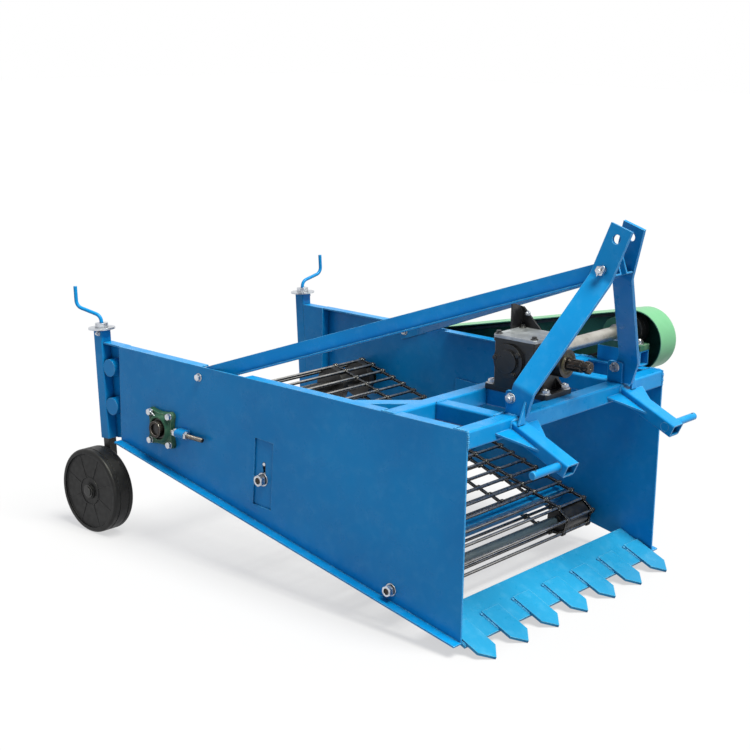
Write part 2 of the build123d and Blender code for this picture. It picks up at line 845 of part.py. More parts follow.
# Belt drive: two grooved pulleys, two belts and the guard
def grooved_pulley(centre, bottom_d, bore_d):
    """Pulley with a groove for each belt and a hollow on each side of its disc."""
    radius = bottom_d / 2 + belt_h - groove_gap
    with BuildPart() as pulley:
        with BuildSketch(side_plane(pulley_y + pulley_width / 2)):
            with Locations(centre):
                Circle(radius)
        extrude(amount=pulley_width)
        for belt_side in (-1, 1):
            with BuildSketch(side_plane(pulley_y + belt_side * belt_pitch / 2 + belt_w / 2 + groove_gap)):
                with Locations(centre):
                    Circle(radius)
                    Circle(bottom_d / 2, mode=Mode.SUBTRACT)
            extrude(amount=belt_w + 2 * groove_gap, mode=Mode.SUBTRACT)
        if bottom_d / 2 - pulley_rim_t > pulley_hub_d / 2:
            for face_side in (-1, 1):
                with BuildSketch(side_plane(pulley_y + face_side * pulley_width / 2)):
                    with Locations(centre):
                        Circle(bottom_d / 2 - pulley_rim_t)
                        Circle(pulley_hub_d / 2, mode=Mode.SUBTRACT)
                extrude(amount=face_side * (pulley_width - pulley_web_t) / 2, mode=Mode.SUBTRACT)
        with BuildSketch(side_plane(pulley_y + pulley_width / 2)):
            with Locations(centre):
                Circle(bore_d / 2 + bearing_fit)
        extrude(amount=pulley_width, mode=Mode.SUBTRACT)
    return pulley.part


finish(grooved_pulley((cross_x, 0), drive_pulley_d, journal_d), "drive_pulley")
finish(grooved_pulley(web_rear, driven_pulley_d, web_shaft_d), "driven_pulley")


def loop_outline(front, front_r, rear, rear_r):
    """Closed outline round two circles, in the side view."""
    run = hypot(rear[0] - front[0], rear[1] - front[1])
    heading = atan2(rear[1] - front[1], rear[0] - front[0])
    tilt = asin((rear_r - front_r) / run)
    marks = []
    for centre, radius, angle in (
        (front, front_r, heading - pi / 2 - tilt),
        (front, front_r, heading + pi),
        (front, front_r, heading + pi / 2 + tilt),
        (rear, rear_r, heading + pi / 2 + tilt),
        (rear, rear_r, heading),
        (rear, rear_r, heading - pi / 2 - tilt),
    ):
        marks.append((centre[0] + radius * cos(angle), centre[1] + radius * sin(angle)))
    ThreePointArc(marks[0], marks[1], marks[2])
    Line(marks[2], marks[3])
    ThreePointArc(marks[3], marks[4], marks[5])
    Line(marks[5], marks[0])


cross_at = (cross_x, 0)
with BuildPart() as drive_belts:
    for side in (-1, 1):
        with BuildSketch(side_plane(pulley_y + side * belt_pitch / 2 + belt_w / 2)):
            with BuildLine():
                loop_outline(
                    cross_at, drive_pulley_d / 2 + belt_h, web_rear, driven_pulley_d / 2 + belt_h
                )
            make_face()
            with BuildLine():
                loop_outline(
                    cross_at,
                    drive_pulley_d / 2 + wheel_gap,
                    web_rear,
                    driven_pulley_d / 2 + wheel_gap,
                )
            make_face(mode=Mode.SUBTRACT)
        extrude(amount=belt_w)
finish(drive_belts.part, "drive_belts")

guard_front = at(guard_front_back, -guard_front_up)
with BuildPart() as belt_guard:
    with BuildSketch(side_plane(guard_out_y)):
        with BuildLine():
            loop_outline(guard_front, guard_front_r, web_rear, guard_rear_r)
        make_face()
    extrude(amount=guard_out_y - guard_in_y)
    with BuildSketch(side_plane(guard_out_y - guard_t)):
        with BuildLine():
            loop_outline(guard_front, guard_front_r - guard_t, web_rear, guard_rear_r - guard_t)
        make_face()
    extrude(amount=guard_out_y, mode=Mode.SUBTRACT)
    with BuildSketch(side_plane(guard_out_y - guard_t)):
        for share_of_run in guard_stays:
            with Locations(
                (
                    guard_front[0] + share_of_run * (web_rear[0] - guard_front[0]),
                    guard_front[1] + share_of_run * (web_rear[1] - guard_front[1]),
                )
            ):
                Circle(guard_stay_d / 2)
    extrude(amount=guard_out_y - guard_t - wall_out)
finish(belt_guard.part, "belt_guard")

# Share: a sloping blade with pointed teeth on top
share_place = Plane(
    origin=(front_x - share_back, 0, deck_z - share_down),
    x_dir=(cos(radians(share_slope)), 0, -sin(radians(share_slope))),
    z_dir=(sin(radians(share_slope)), 0, cos(radians(share_slope))),
)
with BuildPart() as share_blade:
    with BuildSketch(share_place.offset(-share_t)):
        with Locations((share_length / 2, 0)):
            Rectangle(share_length, 2 * wall_in)
    extrude(amount=share_t)
finish(share_blade.part, "share_blade")

with BuildPart() as share_teeth:
    for number in range(tooth_count):
        tooth_y = (number - (tooth_count - 1) / 2) * tooth_pitch
        with BuildSketch(share_place):
            with BuildLine():
                Polyline(
                    (tooth_root, tooth_y - tooth_width / 2),
                    (tooth_shoulder, tooth_y - tooth_width / 2),
                    (tooth_tip, tooth_y),
                    (tooth_shoulder, tooth_y + tooth_width / 2),
                    (tooth_root, tooth_y + tooth_width / 2),
                    close=True,
                )
            make_face()
        extrude(amount=tooth_t)
finish(share_teeth.part, "share_teeth")


# Rod web: rods at an even pitch round the loop, joined by four strands of links
def link_places():
    """Middle, turn and length of the link from each rod to the next."""
    rows = []
    for number in range(rod_count):
        start = rod_places[number]
        end = rod_places[(number + 1) % rod_count]
        middle = ((start[0] + end[0]) / 2, (start[1] + end[1]) / 2)
        turn = degrees(atan2(end[1] - start[1], end[0] - start[0]))
        rows.append((middle, turn, hypot(end[0] - start[0], end[1] - start[1])))
    return rows


link_rows = link_places()
with BuildPart() as rod_web:
    with BuildSketch(side_plane(rod_length / 2)):
        for number in range(rod_count):
            before = link_rows[number - 1][1]
            after = link_rows[number][1]
            turn = before + ((after - before + 180) % 360 - 180) / 2
            with Locations(Location((rod_places[number][0], rod_places[number][1], 0), (0, 0, turn))):
                RegularPolygon(rod_d / 2, 6, rotation=30)
    extrude(amount=rod_length)
    for strand_y in strand_ys:
        for side in (-1, 1):
            with BuildSketch(side_plane(side * strand_y + link_w / 2)):
                for middle, turn, run in link_rows:
                    with Locations(Location((middle[0], middle[1], 0), (0, 0, turn))):
                        Rectangle(run - rod_d * cos(radians(30)), link_h)
            extrude(amount=link_w)
finish(rod_web.part, "rod_web")

# Web shafts: the driven shaft with its star wheels, the front and the support rollers
roller_inset = link_w / 2 + roller_width / 2 + roller_beside
roller_ys = [side * (strand_y - roller_inset) for strand_y in strand_ys for side in (-1, 1)]
with BuildPart() as web_shaft:
    with BuildSketch(side_plane(pulley_out + shaft_stand)):
        with Locations(web_rear):
            Circle(web_shaft_d / 2)
    extrude(amount=pulley_out + shaft_stand + wall_out + ring_out - shaft_end_in)
    for wheel_y in roller_ys:
        with BuildSketch(side_plane(wheel_y + roller_width / 2)):
            with Locations(web_rear):
                Circle(web_rear_r)
            with Locations(*rod_places):
                Circle(rod_d / 2 + rod_room, mode=Mode.SUBTRACT)
        extrude(amount=roller_width)
finish(web_shaft.part, "web_shaft")

roller_r = web_front_r - rod_d / 2 - wheel_gap
barrel_start = strand_ys[0] + link_w / 2 + roller_beside
barrel_end = strand_ys[1] - link_w / 2 - roller_beside
with BuildPart() as front_rollers:
    with BuildSketch(side_plane(wall_in)):
        with Locations(web_front):
            Circle(front_axle_d / 2)
    extrude(amount=2 * wall_in)
    for barrel_side in (-barrel_start, barrel_end):
        with BuildSketch(side_plane(barrel_side)):
            with Locations(web_front):
                Circle(roller_r)
        extrude(amount=barrel_end - barrel_start)
finish(front_rollers.part, "front_rollers")

with BuildPart() as support_rollers:
    with BuildSketch(side_plane(wall_in - plate_t)):
        with Locations(support):
            Circle(support_axle_d / 2)
    extrude(amount=2 * (wall_in - plate_t))
    for wheel_y in roller_ys:
        with BuildSketch(side_plane(wheel_y + roller_width / 2)):
            with Locations(support):
                Circle(support_r)
        extrude(amount=roller_width)
finish(support_rollers.part, "support_rollers")

# Cross tie inside the web's loop
tie = (web_front[0] - tie_back * cos(web_heading), web_front[1] - tie_back * sin(web_heading))
with BuildPart() as cross_tie:
    with BuildSketch(side_plane(wall_in)):
        with Locations(Location((tie[0], tie[1], 0), (0, 0, degrees(web_heading)))):
            Rectangle(tie_size, tie_size)
            Rectangle(tie_size - 2 * tie_wall, tie_size - 2 * tie_wall, mode=Mode.SUBTRACT)
    extrude(amount=2 * wall_in)
finish(cross_tie.part, "cross_tie")

# Flange bearings of the web shaft, outside the walls
housing_taper = degrees(atan2((housing_d - housing_top_d) / 2, housing_out - flange_t))
with BuildPart() as shaft_bearing:
    with BuildSketch(side_plane(-wall_out)):
        with Locations(web_rear):
            RectangleRounded(flange_size, flange_size, flange_corner)
    extrude(amount=flange_t)
    with BuildSketch(side_plane(-wall_out)):
        with Locations(web_rear):
            Circle(ring_d / 2)
    extrude(amount=ring_out)
    with BuildSketch(side_plane(-wall_out - flange_t)):
        with Locations(web_rear):
            Circle(housing_d / 2)
    extrude(amount=housing_out - flange_t, taper=housing_taper)
    with BuildSketch(side_plane(-wall_out)):
        with Locations(web_rear):
            Circle(web_shaft_d / 2 + bearing_fit)
    extrude(amount=ring_out, mode=Mode.SUBTRACT)
finish_both(shaft_bearing.part, "shaft_bearings")

# Rear posts: leaning square tubes, with the brackets and spacers that join the walls
post_dir = (sin(radians(post_lean)), 0, -cos(radians(post_lean)))
post_y = -(wall_out - post / 2)


def post_point(down):
    """A place on the post's axis at a depth below the deck."""
    return (front_x - post_back + down * tan(radians(post_lean)), deck_z - down)


def post_plane(down):
    place = post_point(down)
    return Plane(origin=(place[0], post_y, place[1]), x_dir=(0, 1, 0), z_dir=post_dir)


def along_post(down_from, down_to):
    return (down_to - down_from) / cos(radians(post_lean))


with BuildPart() as post_tube:
    with BuildSketch(post_plane(-post_up)):
        RectangleRounded(post, post, post_round)
        Rectangle(post - 2 * post_wall, post - 2 * post_wall, mode=Mode.SUBTRACT)
    extrude(amount=along_post(-post_up, post_down))
finish_both(post_tube.part, "posts")

post_front = post / 2 / cos(radians(post_lean))
with BuildPart() as post_bracket:
    with BuildSketch(side_plane(-(wall_out - post))):
        with BuildLine():
            Polyline(
                (post_point(0)[0] + post_front, deck_z),
                (post_point(post_down)[0] + post_front, deck_z - post_down),
                (wall_rear_x + bracket_lap, deck_z - wall_rear_depth + wall_t),
                (wall_rear_x + bracket_lap, deck_z),
                close=True,
            )
        make_face()
    extrude(amount=wall_t)
    with BuildSketch(side_plane(-(wall_out - post))):
        with Locations((wall_rear_x + bracket_lap, deck_z - wall_t)):
            Rectangle(wall_t, wall_rear_depth - 4 * wall_t, align=(Align.MAX, Align.MAX))
        with Locations((wall_rear_x, deck_z)):
            Rectangle(wall_rear_x - post_point(wall_t)[0] - post_front, wall_t, align=(Align.MAX, Align.MAX))
    extrude(amount=post - wall_t)
    for down in spacer_downs:
        with BuildSketch(side_plane(-(wall_out - post))):
            with Locations((post_point(down)[0] + post_front + spacer_d / 2 + spacer_gap, deck_z - down)):
                Circle(spacer_d / 2)
        extrude(amount=post)
finish_both(post_bracket.part, "post_brackets")

# Legs: square tubes that slide in the posts, each with a stub axle
with BuildPart() as leg_tube:
    with BuildSketch(post_plane(leg_top_down)):
        RectangleRounded(leg, leg, leg_round)
    extrude(amount=along_post(leg_top_down, leg_bottom_down))
    with BuildSketch(post_plane(leg_top_down + screw_plug_t)):
        Rectangle(leg - 2 * leg_wall, leg - 2 * leg_wall)
    extrude(amount=along_post(leg_top_down + screw_plug_t, leg_bottom_down), mode=Mode.SUBTRACT)
    with BuildSketch(post_plane(leg_top_down)):
        Circle(screw_d / 2 + screw_fit)
    extrude(amount=2 * screw_plug_t, mode=Mode.SUBTRACT)
finish_pair(leg_tube.part, "leg")

axle = post_point(axle_down)
leg_face = post_y - leg / 2
wheel_in_y = leg_face - axle_collar_t - wheel_side_gap
wheel_out_y = wheel_in_y - wheel_width
with BuildPart() as stub_axle:
    with BuildSketch(side_plane(leg_face)):
        with Locations(axle):
            Circle(axle_collar_d / 2)
    extrude(amount=axle_collar_t)
    with BuildSketch(side_plane(leg_face)):
        with Locations(axle):
            Circle(axle_d / 2)
    extrude(amount=leg_face - wheel_out_y + wheel_side_gap)
    with BuildSketch(side_plane(wheel_out_y - wheel_side_gap)):
        with Locations(axle):
            Circle(axle_d / 2 + axle_head)
    extrude(amount=axle_head)
finish_pair(stub_axle.part, "stub_axle")

# Wheels: one-piece moulded wheels, turned from a section, with ribs on the inside
wheel_section = Plane(origin=(axle[0], 0, axle[1]), x_dir=(0, 0, 1), z_dir=(1, 0, 0))
wheel_middle = -(wheel_in_y + wheel_out_y) / 2
with BuildPart() as wheel:
    with BuildSketch(wheel_section):
        with Locations((wheel_d / 2 - rim_t / 2, wheel_middle)):
            Rectangle(rim_t, wheel_width)
        fillet(vertices().group_by(Axis.X)[-1], wheel_round)
        for groove_side in (-1, 1):
            with Locations((wheel_d / 2, wheel_middle + groove_side * wheel_groove_y)):
                Rectangle(2 * wheel_groove_deep, wheel_groove, mode=Mode.SUBTRACT)
        with Locations((0, -wheel_out_y - wheel_dish)):
            Rectangle(wheel_d / 2 - rim_t / 2, wheel_web, align=(Align.MIN, Align.MAX))
        with Locations((0, wheel_middle)):
            Rectangle(hub_d / 2, wheel_width, align=(Align.MIN, Align.CENTER))
        with Locations((0, wheel_middle)):
            Rectangle(axle_d + 2 * wheel_fit, wheel_width, mode=Mode.SUBTRACT)
    revolve(axis=Axis((axle[0], 0, axle[1]), (0, 1, 0)))
    rib_reach = wheel_d / 2 - rim_t - hub_d / 2 + 2 * wheel_groove_deep
    with BuildSketch(side_plane(wheel_in_y - wheel_dish)):
        with Locations(axle):
            with PolarLocations((wheel_d / 2 - rim_t + hub_d / 2) / 2, rib_count):
                Rectangle(rib_reach, rib_t)
    extrude(amount=wheel_width - 2 * wheel_dish - wheel_web)
finish_pair(wheel.part, "wheel")

# Jack screws: a disc and boss on each post with the screw inside, and the bent crank rods
jack_top = post_point(-post_up)
jack_place = Plane(origin=(jack_top[0], post_y, jack_top[1]), x_dir=(0, 1, 0), z_dir=post_dir)
crank_start = jack_disc_t + jack_boss_t
with BuildPart() as jack:
    with BuildSketch(jack_place):
        Circle(jack_disc_d / 2)
    extrude(amount=-jack_disc_t)
    with BuildSketch(jack_place):
        Circle(jack_boss_d / 2)
    extrude(amount=-crank_start)
    with BuildSketch(jack_place):
        Circle(screw_d / 2)
    extrude(amount=along_post(-post_up, leg_top_down + screw_below))
finish_both(jack.part, "jack_screws")

cranks = (
    # side, way the arm points in degrees
    (-1, 200),
    (1, 85),
)
crank_up = Vector(-post_dir[0], 0, -post_dir[2])
with BuildPart() as crank_rods:
    for side, crank_turn in cranks:
        turn = radians(crank_turn)
        foot = Vector(jack_top[0], side * -post_y, jack_top[1]) + crank_up * crank_start
        knee = foot + crank_up * (crank_rise - crank_start)
        hand = knee + Vector(cos(turn), sin(turn), tan(radians(crank_arm_slope))) * crank_arm
        with BuildLine() as crank_line:
            FilletPolyline(foot, knee, hand, hand + crank_up * crank_handle, radius=crank_bend)
        with BuildSketch(Plane(origin=foot, z_dir=crank_up)):
            Circle(crank_rod_d / 2)
        sweep(path=crank_line.wires()[0])
finish(crank_rods.part, "crank_rods")
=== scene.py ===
import bpy
import bmesh
import math
from mathutils import Matrix, Vector


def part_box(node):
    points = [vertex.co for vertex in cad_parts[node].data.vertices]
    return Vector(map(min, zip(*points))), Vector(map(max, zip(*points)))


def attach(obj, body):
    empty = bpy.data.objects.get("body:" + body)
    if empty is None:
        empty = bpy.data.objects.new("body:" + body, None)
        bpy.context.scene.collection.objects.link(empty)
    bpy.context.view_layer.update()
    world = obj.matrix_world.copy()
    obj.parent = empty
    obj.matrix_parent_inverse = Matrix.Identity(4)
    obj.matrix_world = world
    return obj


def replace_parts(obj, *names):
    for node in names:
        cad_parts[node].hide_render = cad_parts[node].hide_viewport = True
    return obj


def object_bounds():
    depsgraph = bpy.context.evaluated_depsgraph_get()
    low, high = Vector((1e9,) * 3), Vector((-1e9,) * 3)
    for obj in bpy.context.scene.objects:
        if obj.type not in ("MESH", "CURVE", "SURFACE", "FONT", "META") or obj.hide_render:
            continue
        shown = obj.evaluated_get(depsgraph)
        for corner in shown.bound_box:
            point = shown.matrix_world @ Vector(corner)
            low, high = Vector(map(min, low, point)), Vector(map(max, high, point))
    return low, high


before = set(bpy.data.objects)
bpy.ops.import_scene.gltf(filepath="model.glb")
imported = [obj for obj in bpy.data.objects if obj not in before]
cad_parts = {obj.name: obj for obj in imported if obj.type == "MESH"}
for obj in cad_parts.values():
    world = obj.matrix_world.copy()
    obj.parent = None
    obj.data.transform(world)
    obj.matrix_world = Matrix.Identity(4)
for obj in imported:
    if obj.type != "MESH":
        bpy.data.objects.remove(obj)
cad_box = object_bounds()
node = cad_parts

# Camera.
# It stands ahead of the machine on its right, at the height of a standing person's eyes, and looks
# back and a little down. The lens is a long one, as for a picture of a product from four metres.
azimuth = math.radians(131.31)
dip = math.radians(13.72)
roll = math.radians(0.94)
stand = Vector((2.1277, -3.3037, 0.9187))
level = math.cos(dip)
forward = Vector((math.cos(azimuth) * level, math.sin(azimuth) * level, -math.sin(dip)))
right = Vector((math.sin(azimuth), -math.cos(azimuth), 0))
up = right.cross(forward)
right_rolled = right * math.cos(roll) + up * math.sin(roll)
up_rolled = up * math.cos(roll) - right * math.sin(roll)
lens = bpy.data.cameras.new("camera")
lens.lens = 69.77
lens.sensor_width = 36
lens.shift_x = -0.0047
lens.shift_y = 0.0008
lens.clip_end = 100
camera = bpy.data.objects.new("camera", lens)
bpy.context.scene.collection.objects.link(camera)
camera_axes = Matrix((right_rolled, up_rolled, -forward)).transposed().to_4x4()
camera.matrix_world = Matrix.Translation(stand) @ camera_axes
bpy.context.scene.camera = camera

# Floor and light.
# A wide pale floor under the wheels and the share's tips, and a soft sky, both shown as white. A
# broad sun high above and a little ahead lights the tops; the right side is in half shade.
floor_half = 30
floor_z = cad_box[0][2]
floor_mesh = bmesh.new()
for x, y in ((-1, -1), (1, -1), (1, 1), (-1, 1)):
    floor_mesh.verts.new((x * floor_half, y * floor_half, floor_z))
floor_mesh.faces.new(floor_mesh.verts)
floor_data = bpy.data.meshes.new("floor")
floor_mesh.to_mesh(floor_data)
floor_mesh.free()
floor = bpy.data.objects.new("floor", floor_data)
bpy.context.scene.collection.objects.link(floor)


def seen_ray(tree):
    """1 for rays that show the surroundings, straight on or in metal; 0 for stray light."""
    path = tree.nodes.new("ShaderNodeLightPath")
    seen = path.outputs["Is Camera Ray"]
    for kind in ("Is Glossy Ray", "Is Transmission Ray"):
        either = tree.nodes.new("ShaderNodeMath")
        either.operation = "MAXIMUM"
        tree.links.new(seen, either.inputs[0])
        tree.links.new(path.outputs[kind], either.inputs[1])
        seen = either.outputs["Value"]
    return seen


def new_finish(name):
    """A material with its node tree and its shader."""
    material = bpy.data.materials.new(name)
    material.use_nodes = True
    return material, material.node_tree, material.node_tree.nodes["Principled BSDF"]


def mixed(tree, share, first, second):
    """The first colour where the share is 0, the second where it is 1."""
    mix = tree.nodes.new("ShaderNodeMix")
    mix.data_type = "RGBA"
    tree.links.new(share, mix.inputs["Factor"])
    for socket, colour in ((mix.inputs[6], first), (mix.inputs[7], second)):
        if isinstance(colour, tuple):
            socket.default_value = colour
        else:
            tree.links.new(colour, socket)
    return mix.outputs[2]


def choose(tree, share, first, second, output):
    """Shows the first shader where the share is 0 and the second where it is 1."""
    choice = tree.nodes.new("ShaderNodeMixShader")
    tree.links.new(share, choice.inputs["Fac"])
    tree.links.new(first, choice.inputs[1])
    tree.links.new(second, choice.inputs[2])
    tree.links.new(choice.outputs["Shader"], output.inputs["Surface"])


stray_grey = (0.24, 0.27, 0.32, 1)
seen_grey = (0.52, 0.51, 0.56, 1)
paper, paper_tree, paper_shader = new_finish("pale_floor")
paper_colour = mixed(paper_tree, seen_ray(paper_tree), stray_grey, seen_grey)
paper_tree.links.new(paper_colour, paper_shader.inputs["Base Color"])
paper_shader.inputs["Roughness"].default_value = 0.9
paper_glow = paper_tree.nodes.new("ShaderNodeEmission")
paper_glow.inputs["Strength"].default_value = 1
glow_share = paper_tree.nodes.new("ShaderNodeMath")
glow_share.operation = "MULTIPLY"
glow_share.inputs[1].default_value = 0.6
paper_tree.links.new(seen_ray(paper_tree), glow_share.inputs[0])
choose(paper_tree, glow_share.outputs["Value"], paper_shader.outputs["BSDF"],
       paper_glow.outputs["Emission"], paper_tree.nodes["Material Output"])
floor_data.materials.append(paper)

sky = bpy.data.worlds.new("sky")
bpy.context.scene.world = sky
sky.use_nodes = True
sky_light = sky.node_tree.nodes["Background"]
sky_light.inputs["Color"].default_value = (0.78, 0.88, 1, 1)
sky_light.inputs["Strength"].default_value = 0.4
sky_seen = sky.node_tree.nodes.new("ShaderNodeBackground")
sky_seen.inputs["Color"].default_value = (1, 1, 1, 1)
sky_seen.inputs["Strength"].default_value = 1
choose(sky.node_tree, seen_ray(sky.node_tree), sky_light.outputs["Background"],
       sky_seen.outputs["Background"], sky.node_tree.nodes["World Output"])

sun_way = Vector((0.42, 0.02, 0.90))
sun_data = bpy.data.lights.new("sun", "SUN")
sun_data.energy = 5.7
sun_data.color = (1, 1, 0.86)
sun_data.angle = math.radians(32)
sun = bpy.data.objects.new("sun", sun_data)
bpy.context.scene.collection.objects.link(sun)
sun.matrix_world = sun_way.to_track_quat("Z", "Y").to_matrix().to_4x4()
bpy.context.scene.view_settings.view_transform = "Standard"

# Side walls and deck.
# Folded steel plates with square tubes welded across their tops, all sprayed with one blue enamel.
# It has slow dents under it, a slight orange peel, pale edges that are partly rubbed and partly a
# painted highlight, and painted shade darkening its corners.


def tone(red, green, blue):
    """A colour as it looks on a screen, 0 to 255, in the linear values that a shader takes."""
    parts = [value / 255 for value in (red, green, blue)]
    linear = (part / 12.92 if part < 0.04 else ((part + 0.055) / 1.055) ** 2.4 for part in parts)
    return tuple(linear) + (1,)


def cloud(tree, scale, detail=4, stretch=(1, 1, 1)):
    """Noise over the piece itself, with so many waves in a metre."""
    place = tree.nodes.new("ShaderNodeTexCoord")
    mapping = tree.nodes.new("ShaderNodeMapping")
    mapping.inputs["Scale"].default_value = stretch
    noise = tree.nodes.new("ShaderNodeTexNoise")
    noise.inputs["Scale"].default_value = scale
    noise.inputs["Detail"].default_value = detail
    tree.links.new(place.outputs["Object"], mapping.inputs["Vector"])
    tree.links.new(mapping.outputs["Vector"], noise.inputs["Vector"])
    return noise.outputs["Fac"]


def spread(tree, value, low, high, to_low=0.0, to_high=1.0):
    """The value from low to high, drawn out to another range and cut off there."""
    mapped = tree.nodes.new("ShaderNodeMapRange")
    tree.links.new(value, mapped.inputs["Value"])
    limits = {"From Min": low, "From Max": high, "To Min": to_low, "To Max": to_high}
    for key, number in limits.items():
        mapped.inputs[key].default_value = number
    return mapped.outputs["Result"]


def product(tree, first, second):
    """Two shares multiplied."""
    times = tree.nodes.new("ShaderNodeMath")
    times.operation = "MULTIPLY"
    tree.links.new(first, times.inputs[0])
    tree.links.new(second, times.inputs[1])
    return times.outputs["Value"]


def patchy(tree, colour, other, scale, detail, low, high, most=1.0):
    """The colour with clouds of another, which reach a share of most where the noise is high."""
    return mixed(tree, spread(tree, cloud(tree, scale, detail), low, high, 0, most), colour, other)


def uneven(tree, scale, detail, low, high, stretch=(1, 1, 1)):
    """Noise between two values, for a roughness or a share."""
    return spread(tree, cloud(tree, scale, detail, stretch), 0.3, 0.7, low, high)


def soft_edge(tree, width):
    """The surface direction as if each edge were rounded by this width."""
    bevel = tree.nodes.new("ShaderNodeBevel")
    bevel.samples = 4
    bevel.inputs["Radius"].default_value = width
    return bevel.outputs["Normal"]


def worn_and_highlit_edges(tree, colour, pale, rounded, low, high, chips=None):
    """The colour, pale on edges, where the rounded direction leaves the true one; chips thin it."""
    # The pale edges stand partly for wear and partly for a painted highlight along each edge.
    geometry = tree.nodes.new("ShaderNodeNewGeometry")
    dot = tree.nodes.new("ShaderNodeVectorMath")
    dot.operation = "DOT_PRODUCT"
    tree.links.new(rounded, dot.inputs[0])
    tree.links.new(geometry.outputs["Normal"], dot.inputs[1])
    edge = spread(tree, dot.outputs["Value"], high, low)
    if chips is not None:
        edge = product(tree, edge, chips)
    return mixed(tree, edge, colour, pale)


def hollow_shade(tree, reach, low, high):
    """Share of painted shade: 1 in a corner or under another piece, 0 in the open; it feels as far
    as the reach.
    """
    shut = tree.nodes.new("ShaderNodeAmbientOcclusion")
    shut.samples = 4
    shut.inputs["Distance"].default_value = reach
    return spread(tree, shut.outputs["AO"], low, high, 1, 0)


def relief(tree, height, strength, distance, below=None):
    """Bump from a height, over an earlier bump or a rounded edge if one is given."""
    bump = tree.nodes.new("ShaderNodeBump")
    bump.inputs["Strength"].default_value = strength
    bump.inputs["Distance"].default_value = distance
    tree.links.new(height, bump.inputs["Height"])
    if below is not None:
        tree.links.new(below, bump.inputs["Normal"])
    return bump.outputs["Normal"]


def dress(tree, shader, colour, rough, surface, metal=0.0):
    """Gives a shader its colour, roughness, surface direction and share of bare metal."""
    tree.links.new(colour, shader.inputs["Base Color"])
    tree.links.new(rough, shader.inputs["Roughness"])
    tree.links.new(surface, shader.inputs["Normal"])
    shader.inputs["Metallic"].default_value = metal


def enamel(name, body_colour, deep_colour, pale_colour, pale_share, gloss, dusty=0.07, painted_corner_shade=None):
    """Sprayed gloss paint on steel: cloudy colour, pale edges, orange peel over slow dents.

    The painted corner shade darkens corners: it holds the reach and the limits of that shade, and
    its colour.
    """
    material, tree, shader = new_finish(name)
    rounded = soft_edge(tree, 0.0024)
    colour = patchy(tree, body_colour, deep_colour, 3.5, 5, 0.35, 0.68)
    colour = patchy(tree, colour, pale_colour, 34, 6, 0.5, 0.8, dusty)
    # Pale edges, partly rubbed paint and partly a painted highlight.
    chips = spread(tree, cloud(tree, 60, 3), 0.4, 0.62, 0.45 * pale_share, pale_share)
    colour = worn_and_highlit_edges(tree, colour, pale_colour, rounded, 0.9, 0.995, chips)
    # Painted shade in corners and under other pieces.
    if painted_corner_shade:
        reach, low, high, shade = painted_corner_shade
        colour = mixed(tree, hollow_shade(tree, reach, low, high), colour, shade)
    dents = relief(tree, cloud(tree, 5, 2), 0.35, 0.006, rounded)
    peel = relief(tree, cloud(tree, 420, 2), 0.12, 0.0006, dents)
    dress(tree, shader, colour, uneven(tree, 22, 6, gloss - 0.07, gloss + 0.12), peel)
    shader.inputs["Specular IOR Level"].default_value = 0.18
    return material


def coat(material, *names):
    """Gives CAD nodes this finish."""
    for name in names:
        for place in node[name].material_slots:
            place.material = material


def both(name):
    """The names of a piece's right and left copies."""
    return ("right_" + name, "left_" + name)


# Painted shade: the blue darkens to this colour in corners and under other pieces.
frame_corner_shade = (0.018, 0.3, 0.8, tone(4, 62, 112))
blue = enamel("blue_enamel", tone(8, 133, 200), tone(6, 121, 188), tone(134, 206, 242), 0.95, 0.3,
              painted_corner_shade=frame_corner_shade)
coat(blue, *both("side_wall"), *both("lower_arm"), *both("mast_bar"), *both("strut"))
coat(blue, "front_beam", "rear_beam", "deck_rails", "corner_braces", "pillow_stand")
coat(blue, "cross_tie", "adjuster_plates", "mast_lugs", "posts", "post_brackets", "crank_rods")
coat(blue, "hitch_pins")


def facing(point, outward):
    """Place at a point, with its own Z along the given direction."""
    turn = Vector(outward).to_track_quat("Z", "Y").to_matrix().to_4x4()
    return Matrix.Translation(point) @ turn


def skin(mesh, rings, close_start=True, close_end=True):
    """Faces between rings that have as many points each."""
    for first, second in zip(rings, rings[1:]):
        for number in range(len(first)):
            after = (number + 1) % len(first)
            mesh.faces.new((first[number], first[after], second[after], second[number]))
    if close_start:
        mesh.faces.new(reversed(rings[0]))
    if close_end:
        mesh.faces.new(rings[-1])


def circle(mesh, place, radius, height, sides):
    """Ring of points round the place's Z."""
    turns = [2 * math.pi * side / sides for side in range(sides)]
    spots = [Vector((radius * math.cos(t), radius * math.sin(t), height)) for t in turns]
    return [mesh.verts.new(place @ spot) for spot in spots]


def turned(mesh, place, profile, sides=24, closed=False):
    """Solid turned round the place's Z, from (radius, height) pairs; closed joins last to first."""
    rings = [circle(mesh, place, radius, height, sides) for radius, height in profile]
    if closed:
        rings.append(rings[0])
    skin(mesh, rings, not closed, not closed)


def piece(name, mesh, material, body="frame", smooth=35):
    """Turns finished mesh code into an object that rides on a body."""
    bmesh.ops.recalc_face_normals(mesh, faces=mesh.faces)
    data = bpy.data.meshes.new(name)
    mesh.to_mesh(data)
    mesh.free()
    data.shade_smooth()
    data.set_sharp_from_angle(angle=math.radians(smooth))
    data.materials.append(material)
    made = bpy.data.objects.new(name, data)
    bpy.context.scene.collection.objects.link(made)
    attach(made, body)
    return made


